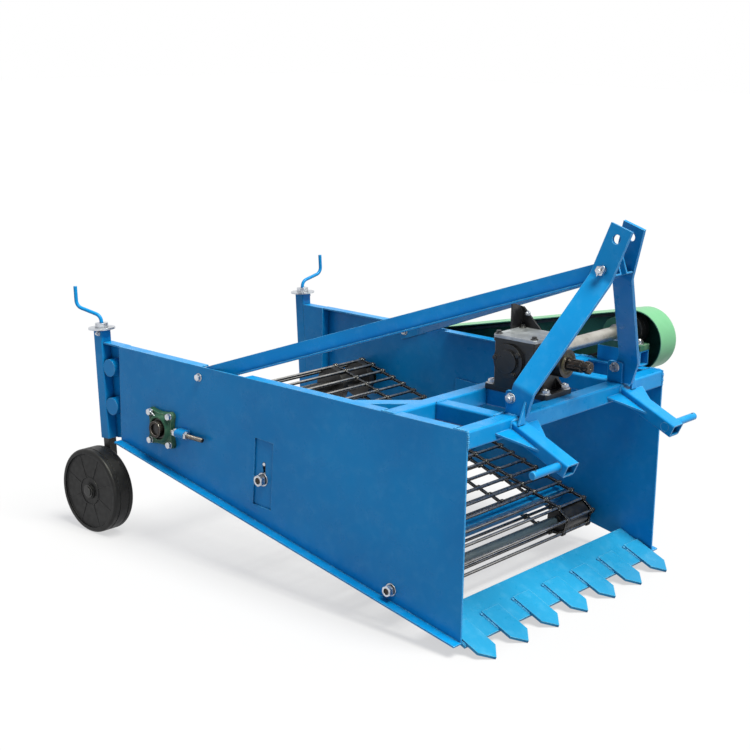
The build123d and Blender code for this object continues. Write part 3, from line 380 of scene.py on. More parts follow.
def weld(mesh, start, end, size, off=(0, 0, 1)):
    """Bead of weld along a line: a low round rib with the ripples of the pool."""
    start = Vector(start)
    run = Vector(end) - start
    along = run.normalized()
    rise = Vector(off).normalized()
    across = along.cross(rise)
    turns = [math.pi * side / 4 for side in range(8)]
    step_length = size * 0.45
    steps = max(6, round(run.length / step_length))
    rings = []
    for step in range(steps + 1):
        share = step / steps
        # Two waves of unlike length, shifted with the bead's start, make the ripples uneven.
        ripple = 1 + 0.18 * math.sin(step * 2.1) + 0.14 * math.sin(step * 0.73 + start.y * 40)
        radius = size * ripple * min(1, 0.45 + 3 * share, 0.45 + 3 * (1 - share))
        centre = start + run * share
        wide, high = across * radius, rise * radius * 0.8
        rings.append([
            mesh.verts.new(centre + wide * math.cos(t) + high * math.sin(t)) for t in turns
        ])
    skin(mesh, rings)


def corner(name, x, y, z):
    """A spot in a node's box: 0 is its low end, 1 its high end, 0.5 its middle."""
    low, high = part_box(name)
    return Vector([a + (b - a) * share for a, b, share in zip(low, high, (x, y, z))])


# Welds of the frame.
# Beads of weld, painted over with the frame. They join the beams to the walls, the rails to the
# beams, and the lower arms and the mast's feet to the front beam.
bead = 0.0042
wall_inside = 0.475
welds = bmesh.new()
for side in (-1, 1):
    wall_in = side * wall_inside
    for beam in ("front_beam", "rear_beam"):
        low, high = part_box(beam)
        for x, way in ((low[0], -1), (high[0], 1)):
            weld(welds, (x, wall_in, low[2]), (x, wall_in, high[2]), bead, (way, -side, 0))
        weld(welds, (low[0], wall_in, high[2]), (high[0], wall_in, high[2]), bead, (0, -side, 1))
rail_low, rail_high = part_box("deck_rails")
rail_top = rail_high[2]
rail_half = 0.022
for rail_y in (-0.280, -0.050, 0.022, 0.280):
    for x in (rail_low[0], rail_high[0]):
        weld(welds, (x, rail_y - rail_half, rail_top), (x, rail_y + rail_half, rail_top), bead)
arm_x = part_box("right_lower_arm")[0][0]
arm_y = 0.266
arm_half = 0.026
arm_top = -0.103
arm_foot = -0.147
mast_rear = -0.092
mast_front = -0.052
mast_y = 0.258
mast_half = 0.005
mast_foot = -0.095
fin_y = 0.253
# Place along the machine and height of the ends of a fin's weld.
fin_ends = ((-0.078, -0.060), (-0.085, -0.040))
for side in (-1, 1):
    for edge in (-arm_half, arm_half):
        y = side * arm_y + edge
        weld(welds, (arm_x, y, arm_top), (arm_x, y, arm_foot), bead, (1, edge * 20, 0))
    right_top = (arm_x, side * arm_y - arm_half, arm_top)
    left_top = (arm_x, side * arm_y + arm_half, arm_top)
    weld(welds, right_top, left_top, bead, (1, 0, 1))
    for edge in (-mast_half, mast_half):
        y = side * mast_y + edge
        off = (0, edge, mast_half)
        weld(welds, (mast_rear, y, mast_foot), (mast_front, y, mast_foot), bead, off)
    fin_foot, fin_top = [(x, side * fin_y, z) for x, z in fin_ends]
    weld(welds, fin_foot, fin_top, bead * 0.8, (-1, 0, 0))
piece("frame_welds", welds, blue)

# Share.
# Seven pointed steel teeth lie on the sloping blade, welded to it along their sides, with a blob
# where each bead ends. The enamel is thinner than the frame's and scratched pale by the soil in
# patches and on its edges, the edges partly a painted highlight; its corners have painted shade.
# Painted shade: the share's enamel darkens in its corners and under the teeth.
share_corner_shade = (0.012, 0.3, 0.8, tone(4, 70, 124))
share_blue = enamel("share_enamel", tone(34, 134, 182), tone(28, 124, 172), tone(140, 204, 232),
                    0.9, 0.3, 0.1, share_corner_shade)
coat(share_blue, "share_blade", "share_teeth")
share_slope = math.radians(23.3)
blade_edge = Vector((-0.164, 0, -0.626))
slide = Vector((math.cos(share_slope), 0, -math.sin(share_slope)))
lift = Vector((math.sin(share_slope), 0, math.cos(share_slope)))
tooth_pitch = 0.144
tooth_half = 0.038
tooth_root = 0.070
tooth_lip = 0.134
tooth_bead = 0.0046
blob_profile = ((0.0064, -0.001), (0.0058, 0.0022), (0.0032, 0.0042), (0.0008, 0.0048))
tooth_beads = bmesh.new()
for number in range(-3, 4):
    for side in (-1, 1):
        edge_y = Vector((0, number * tooth_pitch + side * tooth_half, 0))
        root = blade_edge + slide * tooth_root + edge_y
        lip = blade_edge + slide * tooth_lip + edge_y
        weld(tooth_beads, root, lip, tooth_bead, lift + Vector((0, side, 0)))
        turned(tooth_beads, facing(root + lift * 0.001, lift), blob_profile, 12)
piece("share_welds", tooth_beads, share_blue)

# Bolts and nuts.
# Zinc-plated hexagon bolts and nuts on washers, screwed up by hand tools. The front axle and the
# slots of the adjuster plates have nuts on spring rings, with bare bolt ends inside.


def zinc_plating():
    """Bright plating, clouded where it is thin, with painted shade in the corners under heads."""
    material, tree, shader = new_finish("zinc_plating")
    rounded = soft_edge(tree, 0.0006)
    colour = patchy(tree, tone(210, 214, 221), tone(172, 175, 181), 70, 5, 0.35, 0.7)
    colour = patchy(tree, colour, tone(158, 146, 120), 26, 4, 0.55, 0.75, 0.2)
    # Painted shade in the corners under heads and nuts.
    colour = mixed(tree, hollow_shade(tree, 0.0045, 0.25, 0.8), colour, tone(40, 40, 44))
    grain = relief(tree, cloud(tree, 500, 3), 0.2, 0.0003, rounded)
    dress(tree, shader, colour, uneven(tree, 160, 4, 0.24, 0.46), grain, 1)
    return material


zinc = zinc_plating()
coat(zinc, "tension_screws", "jack_screws", "mast_bolt")


def hexagon(mesh, place, flats, height, hole=0):
    """Hexagon whose corners are cut by a cone, as on a forged head; a hole goes right through."""
    half = flats / 2
    top_r = half * 0.93
    cone = 0.58
    steps = 36
    rings = [[], [], []]
    inner = ([], [])
    for step in range(steps):
        turn = 2 * math.pi * step / steps
        away = half / math.cos((turn + math.pi / 6) % (math.pi / 3) - math.pi / 6)
        x, y = math.cos(turn), math.sin(turn)
        spots = ((away, 0), (away, height - (away - half) * cone), (top_r, height))
        for ring, (radius, z) in zip(rings, spots):
            ring.append(mesh.verts.new(place @ Vector((radius * x, radius * y, z))))
        if hole:
            for ring, z in zip(inner, (height, 0)):
                ring.append(mesh.verts.new(place @ Vector((hole * x, hole * y, z))))
    if hole:
        rings.extend(inner)
        rings.append(rings[0])
    skin(mesh, rings, not hole, not hole)


def thread(mesh, place, size, start, length):
    """Threaded bolt end with a crest at each pitch and a chamfered tip."""
    pitch = 0.0016
    depth = 0.0007
    profile = [(size / 2 - depth, start)]
    for number in range(int(length / pitch)):
        profile.append((size / 2, start + (number + 0.5) * pitch))
        profile.append((size / 2 - depth, start + (number + 1) * pitch))
    profile.append((size / 2 - 2 * depth, start + length))
    turned(mesh, place, profile, 20)


def bolt(mesh, place, size, end=0.0, washer=1.04):
    """Washer and hexagon of a bolt of this size; an end makes it a nut with threads through it."""
    thick = size * 0.16
    rim = size * washer
    hole = size * 0.5
    profile = ((hole, 0), (rim, 0), (rim, thick * 0.7), (rim - thick * 0.4, thick), (hole, thick))
    turned(mesh, place, profile, 28, closed=True)
    hexagon(mesh, place @ Matrix.Translation((0, 0, thick)), size * 1.55, size * 0.68)
    if end:
        thread(mesh, place, size, thick + size * 0.66, end)


def clamp(nuts, ends, place, size):
    """Nut that stands off its washer on a spring ring, with the end of its bolt inside it."""
    washer_t = 0.0024
    ring_top = 0.0060
    hole, rim, bore = size * 0.5, size * 0.98, size * 0.48
    tip = size * 0.70 + 0.004
    washer = ((hole, 0), (rim, 0), (rim, 0.0018), (size * 0.95, washer_t), (hole, washer_t))
    turned(nuts, place, washer, 32, closed=True)
    turned(ends, place, ((size * 0.66, washer_t), (size * 0.66, ring_top)), 28)
    stood = place @ Matrix.Translation((0, 0, ring_top))
    hexagon(nuts, stood, size * 1.5, size * 0.75, size * 0.49)
    turned(ends, place, ((bore, ring_top), (bore, tip), (size * 0.40, tip + 0.002)), 24)


m8 = 0.008
m10 = 0.010
m12 = 0.012
m14 = 0.014
axle_nut = 0.019
slot_nut = 0.021
out_right = Vector((0, -1, 0))
upward = Vector((0, 0, 1))
rear_axis = corner("driven_pulley", 0.5, 0.5, 0.5)
front_axis = corner("front_rollers", 0.5, 0.5, 0.5)
cross_axis = corner("drive_pulley", 0.5, 0.5, 0.5)
wall_y = 0.480
strut_face_y = 0.470
flange_y = 0.495
flange_bolt_x = 0.0445
flange_bolt_z = 0.0450
front_bolt = Vector((front_axis.x, 0, front_axis.z))
strut_bolt = Vector((-1.071, 0, -0.129))
clamp_bolt = Vector((-0.802, 0, -0.391))
slot_end = Vector((-0.7975, 0, -0.344))
slot_end_profile = ((0.0042, -0.0012), (0.0054, 0), (0.0054, 0.0053))
slot_washer_profile = ((0.020, 0.0051), (0.020, 0.0079), (0.006, 0.0081))
mast_bolt_x = -0.075
mast_bolt_z = -0.050
mast_outside_y = 0.263
mast_inside_y = 0.245
frame_bolts = bmesh.new()
bolt_ends = bmesh.new()
for side in (-1, 1):
    outward = Vector((0, side, 0))
    wall_face = outward * wall_y
    plate_face = outward * wall_inside
    clamp(frame_bolts, bolt_ends, facing(front_bolt + wall_face, outward), axle_nut)
    bolt(frame_bolts, facing(strut_bolt + wall_face, outward), m12)
    bolt(frame_bolts, facing(strut_bolt + outward * strut_face_y, -outward), m12, 0.005)
    clamp(frame_bolts, bolt_ends, facing(clamp_bolt + plate_face, outward), slot_nut)
    slot_place = facing(slot_end + plate_face, -outward)
    turned(frame_bolts, slot_place, slot_end_profile, 20)
    turned(bolt_ends, slot_place, slot_washer_profile, 32)
    for dx in (-flange_bolt_x, flange_bolt_x):
        for dz in (-flange_bolt_z, flange_bolt_z):
            spot = Vector((rear_axis.x + dx, 0, rear_axis.z + dz)) + outward * flange_y
            bolt(frame_bolts, facing(spot, outward), m12, washer=0.9)
    mast_outside = Vector((mast_bolt_x, side * mast_outside_y, mast_bolt_z))
    bolt(frame_bolts, facing(mast_outside, outward), m14, 0.003)
    mast_inside = Vector((mast_bolt_x, side * mast_inside_y, mast_bolt_z))
    bolt(frame_bolts, facing(mast_inside, -outward), m14)
    post_bolt = Vector((-1.5568, side * 0.460, -0.360))
    bolt(frame_bolts, facing(post_bolt, (-1, 0, 0.07)), m10)
    pillow_bolt = Vector((cross_axis.x + side * 0.069, 0.487, -0.029))
    bolt(frame_bolts, facing(pillow_bolt, upward), m14, 0.004)
box_foot_top = -0.081
for x in (-0.290, -0.106):
    for y in (-0.060, 0.033):
        bolt(frame_bolts, facing(Vector((x, y, box_foot_top)), upward), m14, 0.003, 1.2)
cover_bolts = bmesh.new()
cover_r = 0.042
cover_y = -0.096
for turn in (math.radians(172), math.radians(32), math.radians(302)):
    spot = Vector((cross_axis.x + cover_r * math.cos(turn), cover_y, cover_r * math.sin(turn)))
    bolt(cover_bolts, facing(spot, out_right), m8)
shield_bolt = Vector((-0.250, 0.047, 0.112))
bolt(frame_bolts, facing(shield_bolt, out_right), m8, 0.004)
piece("frame_bolts", frame_bolts, zinc)

# Split pin of the mast bolt.
# Plated wire through the right end of the bolt, its foot bent back below and its head in a loop.
# Both ends of the bolt are threaded.


def wire(name, points, thickness, material, body="frame"):
    """Round wire along a smooth path, as a mesh."""
    curve = bpy.data.curves.new(name, "CURVE")
    curve.dimensions = "3D"
    curve.bevel_depth = thickness / 2
    curve.bevel_resolution = 3
    curve.resolution_u = 6
    curve.use_fill_caps = True
    spline = curve.splines.new("NURBS")
    spline.points.add(len(points) - 1)
    for knot, point in zip(spline.points, points):
        knot.co = (*point, 1)
    spline.order_u = 3
    spline.use_endpoint_u = True
    template = bpy.data.objects.new(name, curve)
    bpy.context.scene.collection.objects.link(template)
    view = bpy.context.evaluated_depsgraph_get()
    shape = bpy.data.meshes.new_from_object(template.evaluated_get(view))
    bpy.data.objects.remove(template)
    mesh = bmesh.new()
    mesh.from_mesh(shape)
    return piece(name, mesh, material, body)


mast_low, mast_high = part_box("mast_bolt")
mast_x = (mast_low[0] + mast_high[0]) / 2
mast_z = (mast_low[2] + mast_high[2]) / 2
mast_ends = bmesh.new()
for end_y, outward in ((mast_low[1], out_right), (mast_high[1], -out_right)):
    thread(mast_ends, facing(Vector((mast_x, end_y, mast_z)), outward), m14, 0, 0.006)
piece("mast_bolt_ends", mast_ends, zinc)
pin_at = Vector((mast_x, mast_low[1] - 0.002, mast_z))
pin_path = (
    (-0.006, 0, -0.014), (0, 0, -0.004), (0.004, 0, 0.004), (0.010, 0, 0.015),
    (0.018, 0, 0.014), (0.015, 0, 0.004), (0.008, -0.001, -0.002),
)
wire("mast_split_pin", [pin_at + Vector(step) for step in pin_path], 0.0028, zinc)

# Tension screws.
# Lengths of dark threaded rod through the bushes on the walls, which push the web shaft's bearings
# to the rear. A plated nut on each side of the bush holds the setting.


def dark_steel(name, below, above, rust, gloss):
    """Mill steel, dark, with painted shade underneath and a painted highlight on top; a little
    brown in places.
    """
    material, tree, shader = new_finish(name)
    rounded = soft_edge(tree, 0.0009)
    way = tree.nodes.new("ShaderNodeSeparateXYZ")
    tree.links.new(tree.nodes.new("ShaderNodeNewGeometry").outputs["Normal"], way.inputs["Vector"])
    pale_share = uneven(tree, 18, 6, 0.6, 1)
    # Painted light: faces turned up take a painted highlight and faces turned down painted shade,
    # unevenly.
    top_light_share = spread(tree, way.outputs["Z"], -0.1, 0.45)
    colour = mixed(tree, product(tree, top_light_share, pale_share), below, above)
    colour = patchy(tree, colour, rust, 45, 5, 0.56, 0.74, 0.3)
    colour = worn_and_highlit_edges(tree, colour, tone(176, 174, 170), rounded, 0.86, 0.99)
    grain = relief(tree, cloud(tree, 260, 4), 0.16, 0.0003, rounded)
    dress(tree, shader, colour, uneven(tree, 90, 4, gloss - 0.08, gloss + 0.16), grain, 0.9)
    return material


screw_rust = tone(84, 62, 46)
# Painted light as on the rods: a painted highlight on top and painted shade underneath.
screw_steel = dark_steel("screw_steel", tone(40, 34, 32), tone(108, 102, 96), screw_rust, 0.32)
ahead = Vector((1, 0, 0))
screw_low, screw_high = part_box("tension_screws")
screw_y = 0.497
screw_z = (screw_low[2] + screw_high[2]) / 2
screw_length = screw_high[0] - screw_low[0]
nut_flats = 0.022
nut_t = 0.011
nut_hole = 0.0066
tension_rods = bmesh.new()
tension_nuts = bmesh.new()
for side in (-1, 1):
    screw_start = facing(Vector((screw_low[0], side * screw_y, screw_z)), ahead)
    thread(tension_rods, screw_start, m14, 0, screw_length)
    for nut_x in (-1.1683, -1.1173):
        nut_place = facing(Vector((nut_x, side * screw_y, screw_z)), ahead)
        hexagon(tension_nuts, nut_place, nut_flats, nut_t, nut_hole)
nut_piece = piece("tension_nuts", tension_nuts, zinc)
rod_piece = piece("tension_rods", tension_rods, screw_steel)
piece("bolt_ends", bolt_ends, screw_steel)
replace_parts(nut_piece, "tension_screws")
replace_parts(rod_piece, "tension_screws")

# Rod web.
# Round steel bars, dark, with painted shade along their undersides and a painted highlight along
# their tops. Four strands of forged links join them; each link ends in two eyes, which hang over
# neighbouring bars.
rod_steel = dark_steel("rod_steel", tone(16, 16, 18), tone(182, 180, 178), tone(72, 66, 60), 0.26)
link_steel = dark_steel("link_steel", tone(14, 14, 15), tone(98, 97, 97), tone(52, 47, 44), 0.28)
coat(rod_steel, "rod_web")
web_pitch = 0.050
web_count = 46
star_seats = 8
front_r = 0.044
rear_r = star_seats * web_pitch / (2 * math.pi)
web_span = math.hypot(front_axis.x - rear_axis.x, front_axis.z - rear_axis.z)
web_heading = math.atan2(front_axis.z - rear_axis.z, front_axis.x - rear_axis.x)
web_tilt = math.asin((rear_r - front_r) / web_span)


def around(centre, radius, angle):
    """Spot on a circle in the machine's upright middle plane."""
    return Vector((centre.x + radius * math.cos(angle), 0, centre.z + radius * math.sin(angle)))


def web_place(distance):
    """Place at a distance along the loop, from the top of the rear round, forward and round."""
    straight = math.sqrt(web_span**2 - (rear_r - front_r) ** 2)
    wrap = front_r * (math.pi - 2 * web_tilt)
    top = web_heading + math.pi / 2 - web_tilt
    low = web_heading - math.pi / 2 + web_tilt
    if distance < straight:
        run = Vector((math.cos(web_heading - web_tilt), 0, math.sin(web_heading - web_tilt)))
        return around(rear_axis, rear_r, top) + run * distance
    if distance < straight + wrap:
        return around(front_axis, front_r, top - (distance - straight) / front_r)
    if distance < 2 * straight + wrap:
        run = Vector((math.cos(web_heading + web_tilt), 0, math.sin(web_heading + web_tilt)))
        return around(front_axis, front_r, low) - run * (distance - straight - wrap)
    return around(rear_axis, rear_r, low - (distance - 2 * straight - wrap) / rear_r)


rod_places = [web_place((number + 0.5) * web_pitch) for number in range(web_count)]
side_way = Vector((0, 1, 0))
rod_half = 0.456
rod_r = 0.005
rod_end = 0.001
rod_profile = (
    (rod_r - rod_end, 0), (rod_r, rod_end),
    (rod_r, 2 * rod_half - rod_end), (rod_r - rod_end, 2 * rod_half),
)
rods = bmesh.new()
for place in rod_places:
    turned(rods, facing(place - Vector((0, rod_half, 0)), side_way), rod_profile, 14)
strand_ys = (-0.440, -0.305, 0.305, 0.440)
eye_r = 0.0088
eye_half = 0.0038
eye_edge = 0.001
eye_profile = (
    (rod_r, 0), (eye_r - eye_edge, 0), (eye_r, eye_edge), (eye_r, 2 * eye_half - eye_edge),
    (eye_r - eye_edge, 2 * eye_half), (rod_r, 2 * eye_half),
)
link_t = 0.0045
link_flat = 0.8
# Share of the way between the eyes, and half width there.
link_shape = ((0.12, eye_half), (0.3, eye_half * 1.25), (0.7, eye_half * 1.25), (0.88, eye_half))
links = bmesh.new()
for number, place in enumerate(rod_places):
    after = rod_places[(number + 1) % web_count]
    for strand_y in strand_ys:
        ends = []
        for centre, shift in ((place, -eye_half), (after, eye_half)):
            eye_start = centre + Vector((0, strand_y + shift - eye_half, 0))
            turned(links, facing(eye_start, side_way), eye_profile, 14, closed=True)
            ends.append(centre + Vector((0, strand_y + shift, 0)))
        rise = side_way.cross((ends[1] - ends[0]).normalized())
        rings = []
        for share, half in link_shape:
            middle = ends[0].lerp(ends[1], share)
            section = ((-half, -link_t), (half, -link_t), (half, link_t), (-half, link_t))
            rings.append([
                links.verts.new(middle + side_way * y + rise * z * link_flat) for y, z in section
            ])
        skin(links, rings)
for name, mesh, material in (("web_rods", rods, rod_steel), ("web_links", links, link_steel)):
    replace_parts(piece(name, mesh, material), "rod_web")

# Rollers and axles.
# Iron rollers, star wheels, stub axles and legs under black paint, grey on their edges. A painted
# tube covers the front axle between its rollers; the two drive shafts are bare turned steel.


def black_paint(name, colour, pale, grain, gloss):
    """Dark paint over cast or turned iron, cloudy with dust and grey on its edges."""
    material, tree, shader = new_finish(name)
    rounded = soft_edge(tree, 0.0014)
    shade = patchy(tree, colour, pale, 12, 6, 0.35, 0.7)
    chips = spread(tree, cloud(tree, 70, 3), 0.42, 0.62, 0.1, 0.6)
    shade = worn_and_highlit_edges(tree, shade, tone(120, 118, 114), rounded, 0.88, 0.99, chips)
    sand = relief(tree, cloud(tree, grain, 3), 0.35, 0.0008, rounded)
    dress(tree, shader, shade, uneven(tree, 40, 5, gloss - 0.1, gloss + 0.12), sand)
    return material


def turned_steel():
    """Bare turned shaft: fine rings from the lathe tool, faint brown film."""
    material, tree, shader = new_finish("turned_steel")
    colour = patchy(tree, tone(196, 194, 190), tone(158, 154, 148), 14, 5, 0.36, 0.68)
    colour = patchy(tree, colour, tone(104, 78, 56), 50, 5, 0.58, 0.8, 0.3)
    rough = uneven(tree, 60, 3, 0.26, 0.44, (1, 14, 1))
    lathe_rings = relief(tree, cloud(tree, 90, 3, (0.4, 12, 0.4)), 0.18, 0.0003)
    dress(tree, shader, colour, rough, lathe_rings, 0.9)
    return material


roller_black = black_paint("roller_black", tone(12, 12, 13), tone(25, 24, 24), 180, 0.4)
coat(roller_black, "front_rollers", "support_rollers", "web_shaft")
coat(roller_black, *both("leg"), *both("stub_axle"))
shaft_steel = turned_steel()
coat(shaft_steel, "cross_shaft", "pto_shaft")

tube_half = 0.295
tube_r = 0.0146
tube_length = 0.590
tube_end_r = 0.0140
tube_profile = (
    (tube_end_r, 0), (tube_r, 0.001), (tube_r, tube_length - 0.001), (tube_end_r, tube_length),
)
axle_tube = bmesh.new()
tube_start = Vector((front_axis.x, -tube_half, front_axis.z))
turned(axle_tube, facing(tube_start, side_way), tube_profile, 28)
tube_paint = black_paint("tube_paint", tone(62, 76, 86), tone(72, 86, 95), 60, 0.34)
piece("front_axle_tube", axle_tube, tube_paint)

# Gearbox.
# Cast iron box with a ribbed foot, painted black, under a lid of plain cast aluminium.
# Round bosses carry the lid's bolts, and the cover's bolts are painted with the box.


def cast_aluminium():
    """Sand-cast aluminium with grime in its pores."""
    material, tree, shader = new_finish("cast_aluminium")
    rounded = soft_edge(tree, 0.0012)
    colour = patchy(tree, tone(174, 178, 183), tone(136, 140, 145), 16, 6, 0.35, 0.7)
    colour = patchy(tree, colour, tone(84, 84, 84), 38, 6, 0.55, 0.75, 0.6)
    sand = relief(tree, cloud(tree, 380, 4), 0.35, 0.0005, rounded)
    dress(tree, shader, colour, uneven(tree, 90, 4, 0.38, 0.6), sand, 0.75)
    return material


box_black = black_paint("gearbox_paint", tone(12, 12, 15), tone(25, 25, 28), 320, 0.36)
coat(box_black, "gearbox_housing")
coat(cast_aluminium(), "gearbox_lid")
lid_low, lid_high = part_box("gearbox_lid")
lid_inset = 0.013
boss_foot = lid_high[2] - 0.001
boss_top = lid_high[2] + 0.002
boss_profile = ((0.0115, 0), (0.0112, 0.002), (0.0098, 0.003))
lid_bolts = bmesh.new()
for x in (lid_low[0] + lid_inset, lid_high[0] - lid_inset):
    for y in (lid_low[1] + lid_inset, lid_high[1] - lid_inset):
        turned(lid_bolts, facing(Vector((x, y, boss_foot)), upward), boss_profile, 24)
        bolt(lid_bolts, facing(Vector((x, y, boss_top)), upward), m8)
piece("lid_bolts", lid_bolts, box_black)
piece("cover_bolts", cover_bolts, box_black)

# Drive shaft.
# Six wide splines with a turned groove near the end for the coupling's lock, and a centre hole.
# The end is brown from hardening, and a rubber lip in a steel ring seals it at the box's mouth.


def hardened_steel():
    """Dark steel from the hardening, brown in patches and bright on its edges."""
    material, tree, shader = new_finish("hardened_steel")
    rounded = soft_edge(tree, 0.0008)
    colour = patchy(tree, tone(36, 34, 33), tone(58, 52, 48), 40, 5, 0.35, 0.68)
    colour = patchy(tree, colour, tone(78, 58, 44), 80, 4, 0.54, 0.76, 0.5)
    colour = worn_and_highlit_edges(tree, colour, tone(170, 158, 146), rounded, 0.88, 0.99)
    grain = relief(tree, cloud(tree, 300, 3), 0.25, 0.0004, rounded)
    dress(tree, shader, colour, uneven(tree, 110, 4, 0.3, 0.5), grain, 0.8)
    return material


pto_low, pto_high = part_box("pto_shaft")
pto_mouth = -0.076
pto_length = pto_high[0] - pto_low[0]
mouth = pto_mouth - pto_low[0]
collar_r = 0.0199
pto_r = 0.0175
root_r = 0.0142
key_count = 6
key_share = 0.27
spline_steps = 72
splined = bmesh.new()
spline_place = facing(Vector((pto_low[0], 0, 0)), ahead)


def splined_ring(key_height, height):
    """Ring of the shaft with six keys; a key height of 0 is the root circle, 1 the full keys."""
    ring = []
    for step in range(spline_steps):
        turn = 2 * math.pi * step / spline_steps
        key = abs((turn * key_count / (2 * math.pi)) % 1 - 0.5) < key_share
        radius = root_r + (pto_r - root_r) * (key_height if key else 0)
        spot = Vector((radius * math.cos(turn), radius * math.sin(turn), height))
        ring.append(splined.verts.new(spline_place @ spot))
    return ring


def round_ring(radius, height):
    """Plain ring of the shaft with as many points."""
    return circle(splined, spline_place, radius, height, spline_steps)


skin(splined, [
    round_ring(collar_r, 0),
    round_ring(collar_r, mouth),
    round_ring(pto_r, mouth + 0.0005),
    round_ring(pto_r, mouth + 0.008),
    splined_ring(1, mouth + 0.014),
    splined_ring(1, pto_length - 0.026),
    splined_ring(0, pto_length - 0.0245),
    splined_ring(0, pto_length - 0.0175),
    splined_ring(1, pto_length - 0.016),
    splined_ring(1, pto_length - 0.002),
    splined_ring(0.35, pto_length),
    round_ring(0.0045, pto_length),
    round_ring(0.001, pto_length - 0.005),
])
splined_piece = piece("splined_shaft", splined, hardened_steel(), smooth=28)
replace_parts(splined_piece, "pto_shaft")


def rubber(name, colour, pale, waves, grain, rough):
    """Dull rubber, dusty in places; the last three hold what cloud, relief and uneven take."""
    material, tree, shader = new_finish(name)
    shade = patchy(tree, colour, pale, *waves, 0.35, 0.7)
    scale, strength, depth = grain
    sand = relief(tree, cloud(tree, scale, 2), strength, depth)
    dress(tree, shader, shade, uneven(tree, *rough), sand)
    return material


seal_profile = (
    (0.0204, 0), (0.0308, 0), (0.0308, 0.0052), (0.0285, 0.0056),
    (0.0275, 0.0040), (0.0232, 0.0036), (0.0212, 0.0058), (0.0204, 0.0056),
)
seal = bmesh.new()
turned(seal, facing(Vector((pto_mouth - 0.006, 0, 0)), ahead), seal_profile, 40, closed=True)
seal_rubber = rubber("seal_rubber", tone(92, 84, 56), tone(54, 50, 40), (120, 4),
                     (500, 0.2, 0.0003), (220, 3, 0.4, 0.6))
piece("shaft_seal", seal, seal_rubber)

# Bearings.
# Cast iron housings in dark green paint, bolted by their flanges. The two on the walls have dark
# shields and inner rings, the pillow bearing a bare steel ring, and each has a grease nipple.
# Painted shade: the green darkens in corners and under bolts and shields.
bearing_corner_shade = (0.012, 0.3, 0.85, tone(14, 34, 24))
bearing_green = enamel("bearing_enamel", tone(56, 104, 84), tone(38, 80, 62), tone(158, 182, 150),
                       0.9, 0.4, 0.25, bearing_corner_shade)
coat(bearing_green, "shaft_bearings", "pillow_bearing")
flange_half = 0.0585
flange_corner = 0.014
flange_hollow = 0.0062
# How far the outline is drawn in, and its height off the wall.
flange_levels = ((0, 0), (0.0008, 0.0105), (0.0042, 0.0150))
# Radius and height, up over the boss and down its bore.
boss_levels = (
    (0.0470, 0.0154), (0.0445, 0.0175), (0.0395, 0.0250), (0.0378, 0.0260), (0.0345, 0.0258),
    (0.0335, 0.0240), (0.0330, 0.0160), (0.0266, 0.0160), (0.0266, 0),
)
shield_profile = ((0.0268, 0.0165), (0.0328, 0.0165), (0.0322, 0.0195), (0.0268, 0.0205))
ring_profile = (
    (0.0177, 0.0100), (0.0255, 0.0100), (0.0262, 0.0210), (0.0262, 0.0370),
    (0.0252, 0.0380), (0.0190, 0.0380), (0.0177, 0.0368),
)
stem_profile = (
    (0.0015, -0.003), (0.0015, 0.0145), (0.0032, 0.0160), (0.0032, 0.0195), (0.0016, 0.0210),
)
housings = bmesh.new()
shields = bmesh.new()
web_rings = bmesh.new()
inner_rings = bmesh.new()
nipples = bmesh.new()


def flange_outline(shrink):
    """Points of a cast flange's outline, each as a quarter turn and its place in that quarter."""
    half = flange_half - shrink
    straight = half - flange_corner
    outline = []
    for quarter in range(4):
        turn = Matrix.Rotation(math.pi / 2 * quarter, 4, "Z")
        for step in range(7):
            angle = math.radians(-10 + 110 * step / 6)
            x = straight + flange_corner * math.cos(angle)
            y = straight + flange_corner * math.sin(angle)
            outline.append((turn, x, y))
        for along in (step / 6 for step in range(1, 6)):
            hollow = flange_hollow * 4 * along * (1 - along)
            outline.append((turn, straight * (1 - 2 * along), half - hollow))
    return outline


def housing_ring(place, outline, height):
    """The outline as a ring of points at this height."""
    return [housings.verts.new(place @ turn @ Vector((x, y, height))) for turn, x, y in outline]


def rounded_outline(outline, radius):
    """The outline drawn in to a circle along the same rays."""
    return [(turn, radius * x / math.hypot(x, y), radius * y / math.hypot(x, y))
            for turn, x, y in outline]


for side in (-1, 1):
    outward = Vector((0, side, 0))
    seat = facing(Vector((rear_axis.x, side * wall_y, rear_axis.z)), outward)
    rings = [housing_ring(seat, flange_outline(shrink), z) for shrink, z in flange_levels]
    for radius, z in boss_levels:
        rings.append(housing_ring(seat, rounded_outline(flange_outline(0), radius), z))
    rings.append(rings[0])
    skin(housings, rings, False, False)
    turned(shields, seat, shield_profile, 40, closed=True)
    turned(web_rings, seat, ring_profile, 40, closed=True)
    nipple_foot = Vector((rear_axis.x - 0.019, side * 0.500, rear_axis.z + 0.038))
    turned(nipples, facing(nipple_foot, (-0.66, side * 0.35, 0.62)), stem_profile, 14)
housing_piece = piece("bearing_housings", housings, bearing_green)
shield_piece = piece("bearing_shields", shields, roller_black)
ring_piece = piece("web_bearing_rings", web_rings, screw_steel)
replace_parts(housing_piece, "shaft_bearings")
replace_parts(shield_piece, "shaft_bearings")
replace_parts(ring_piece, "shaft_bearings")

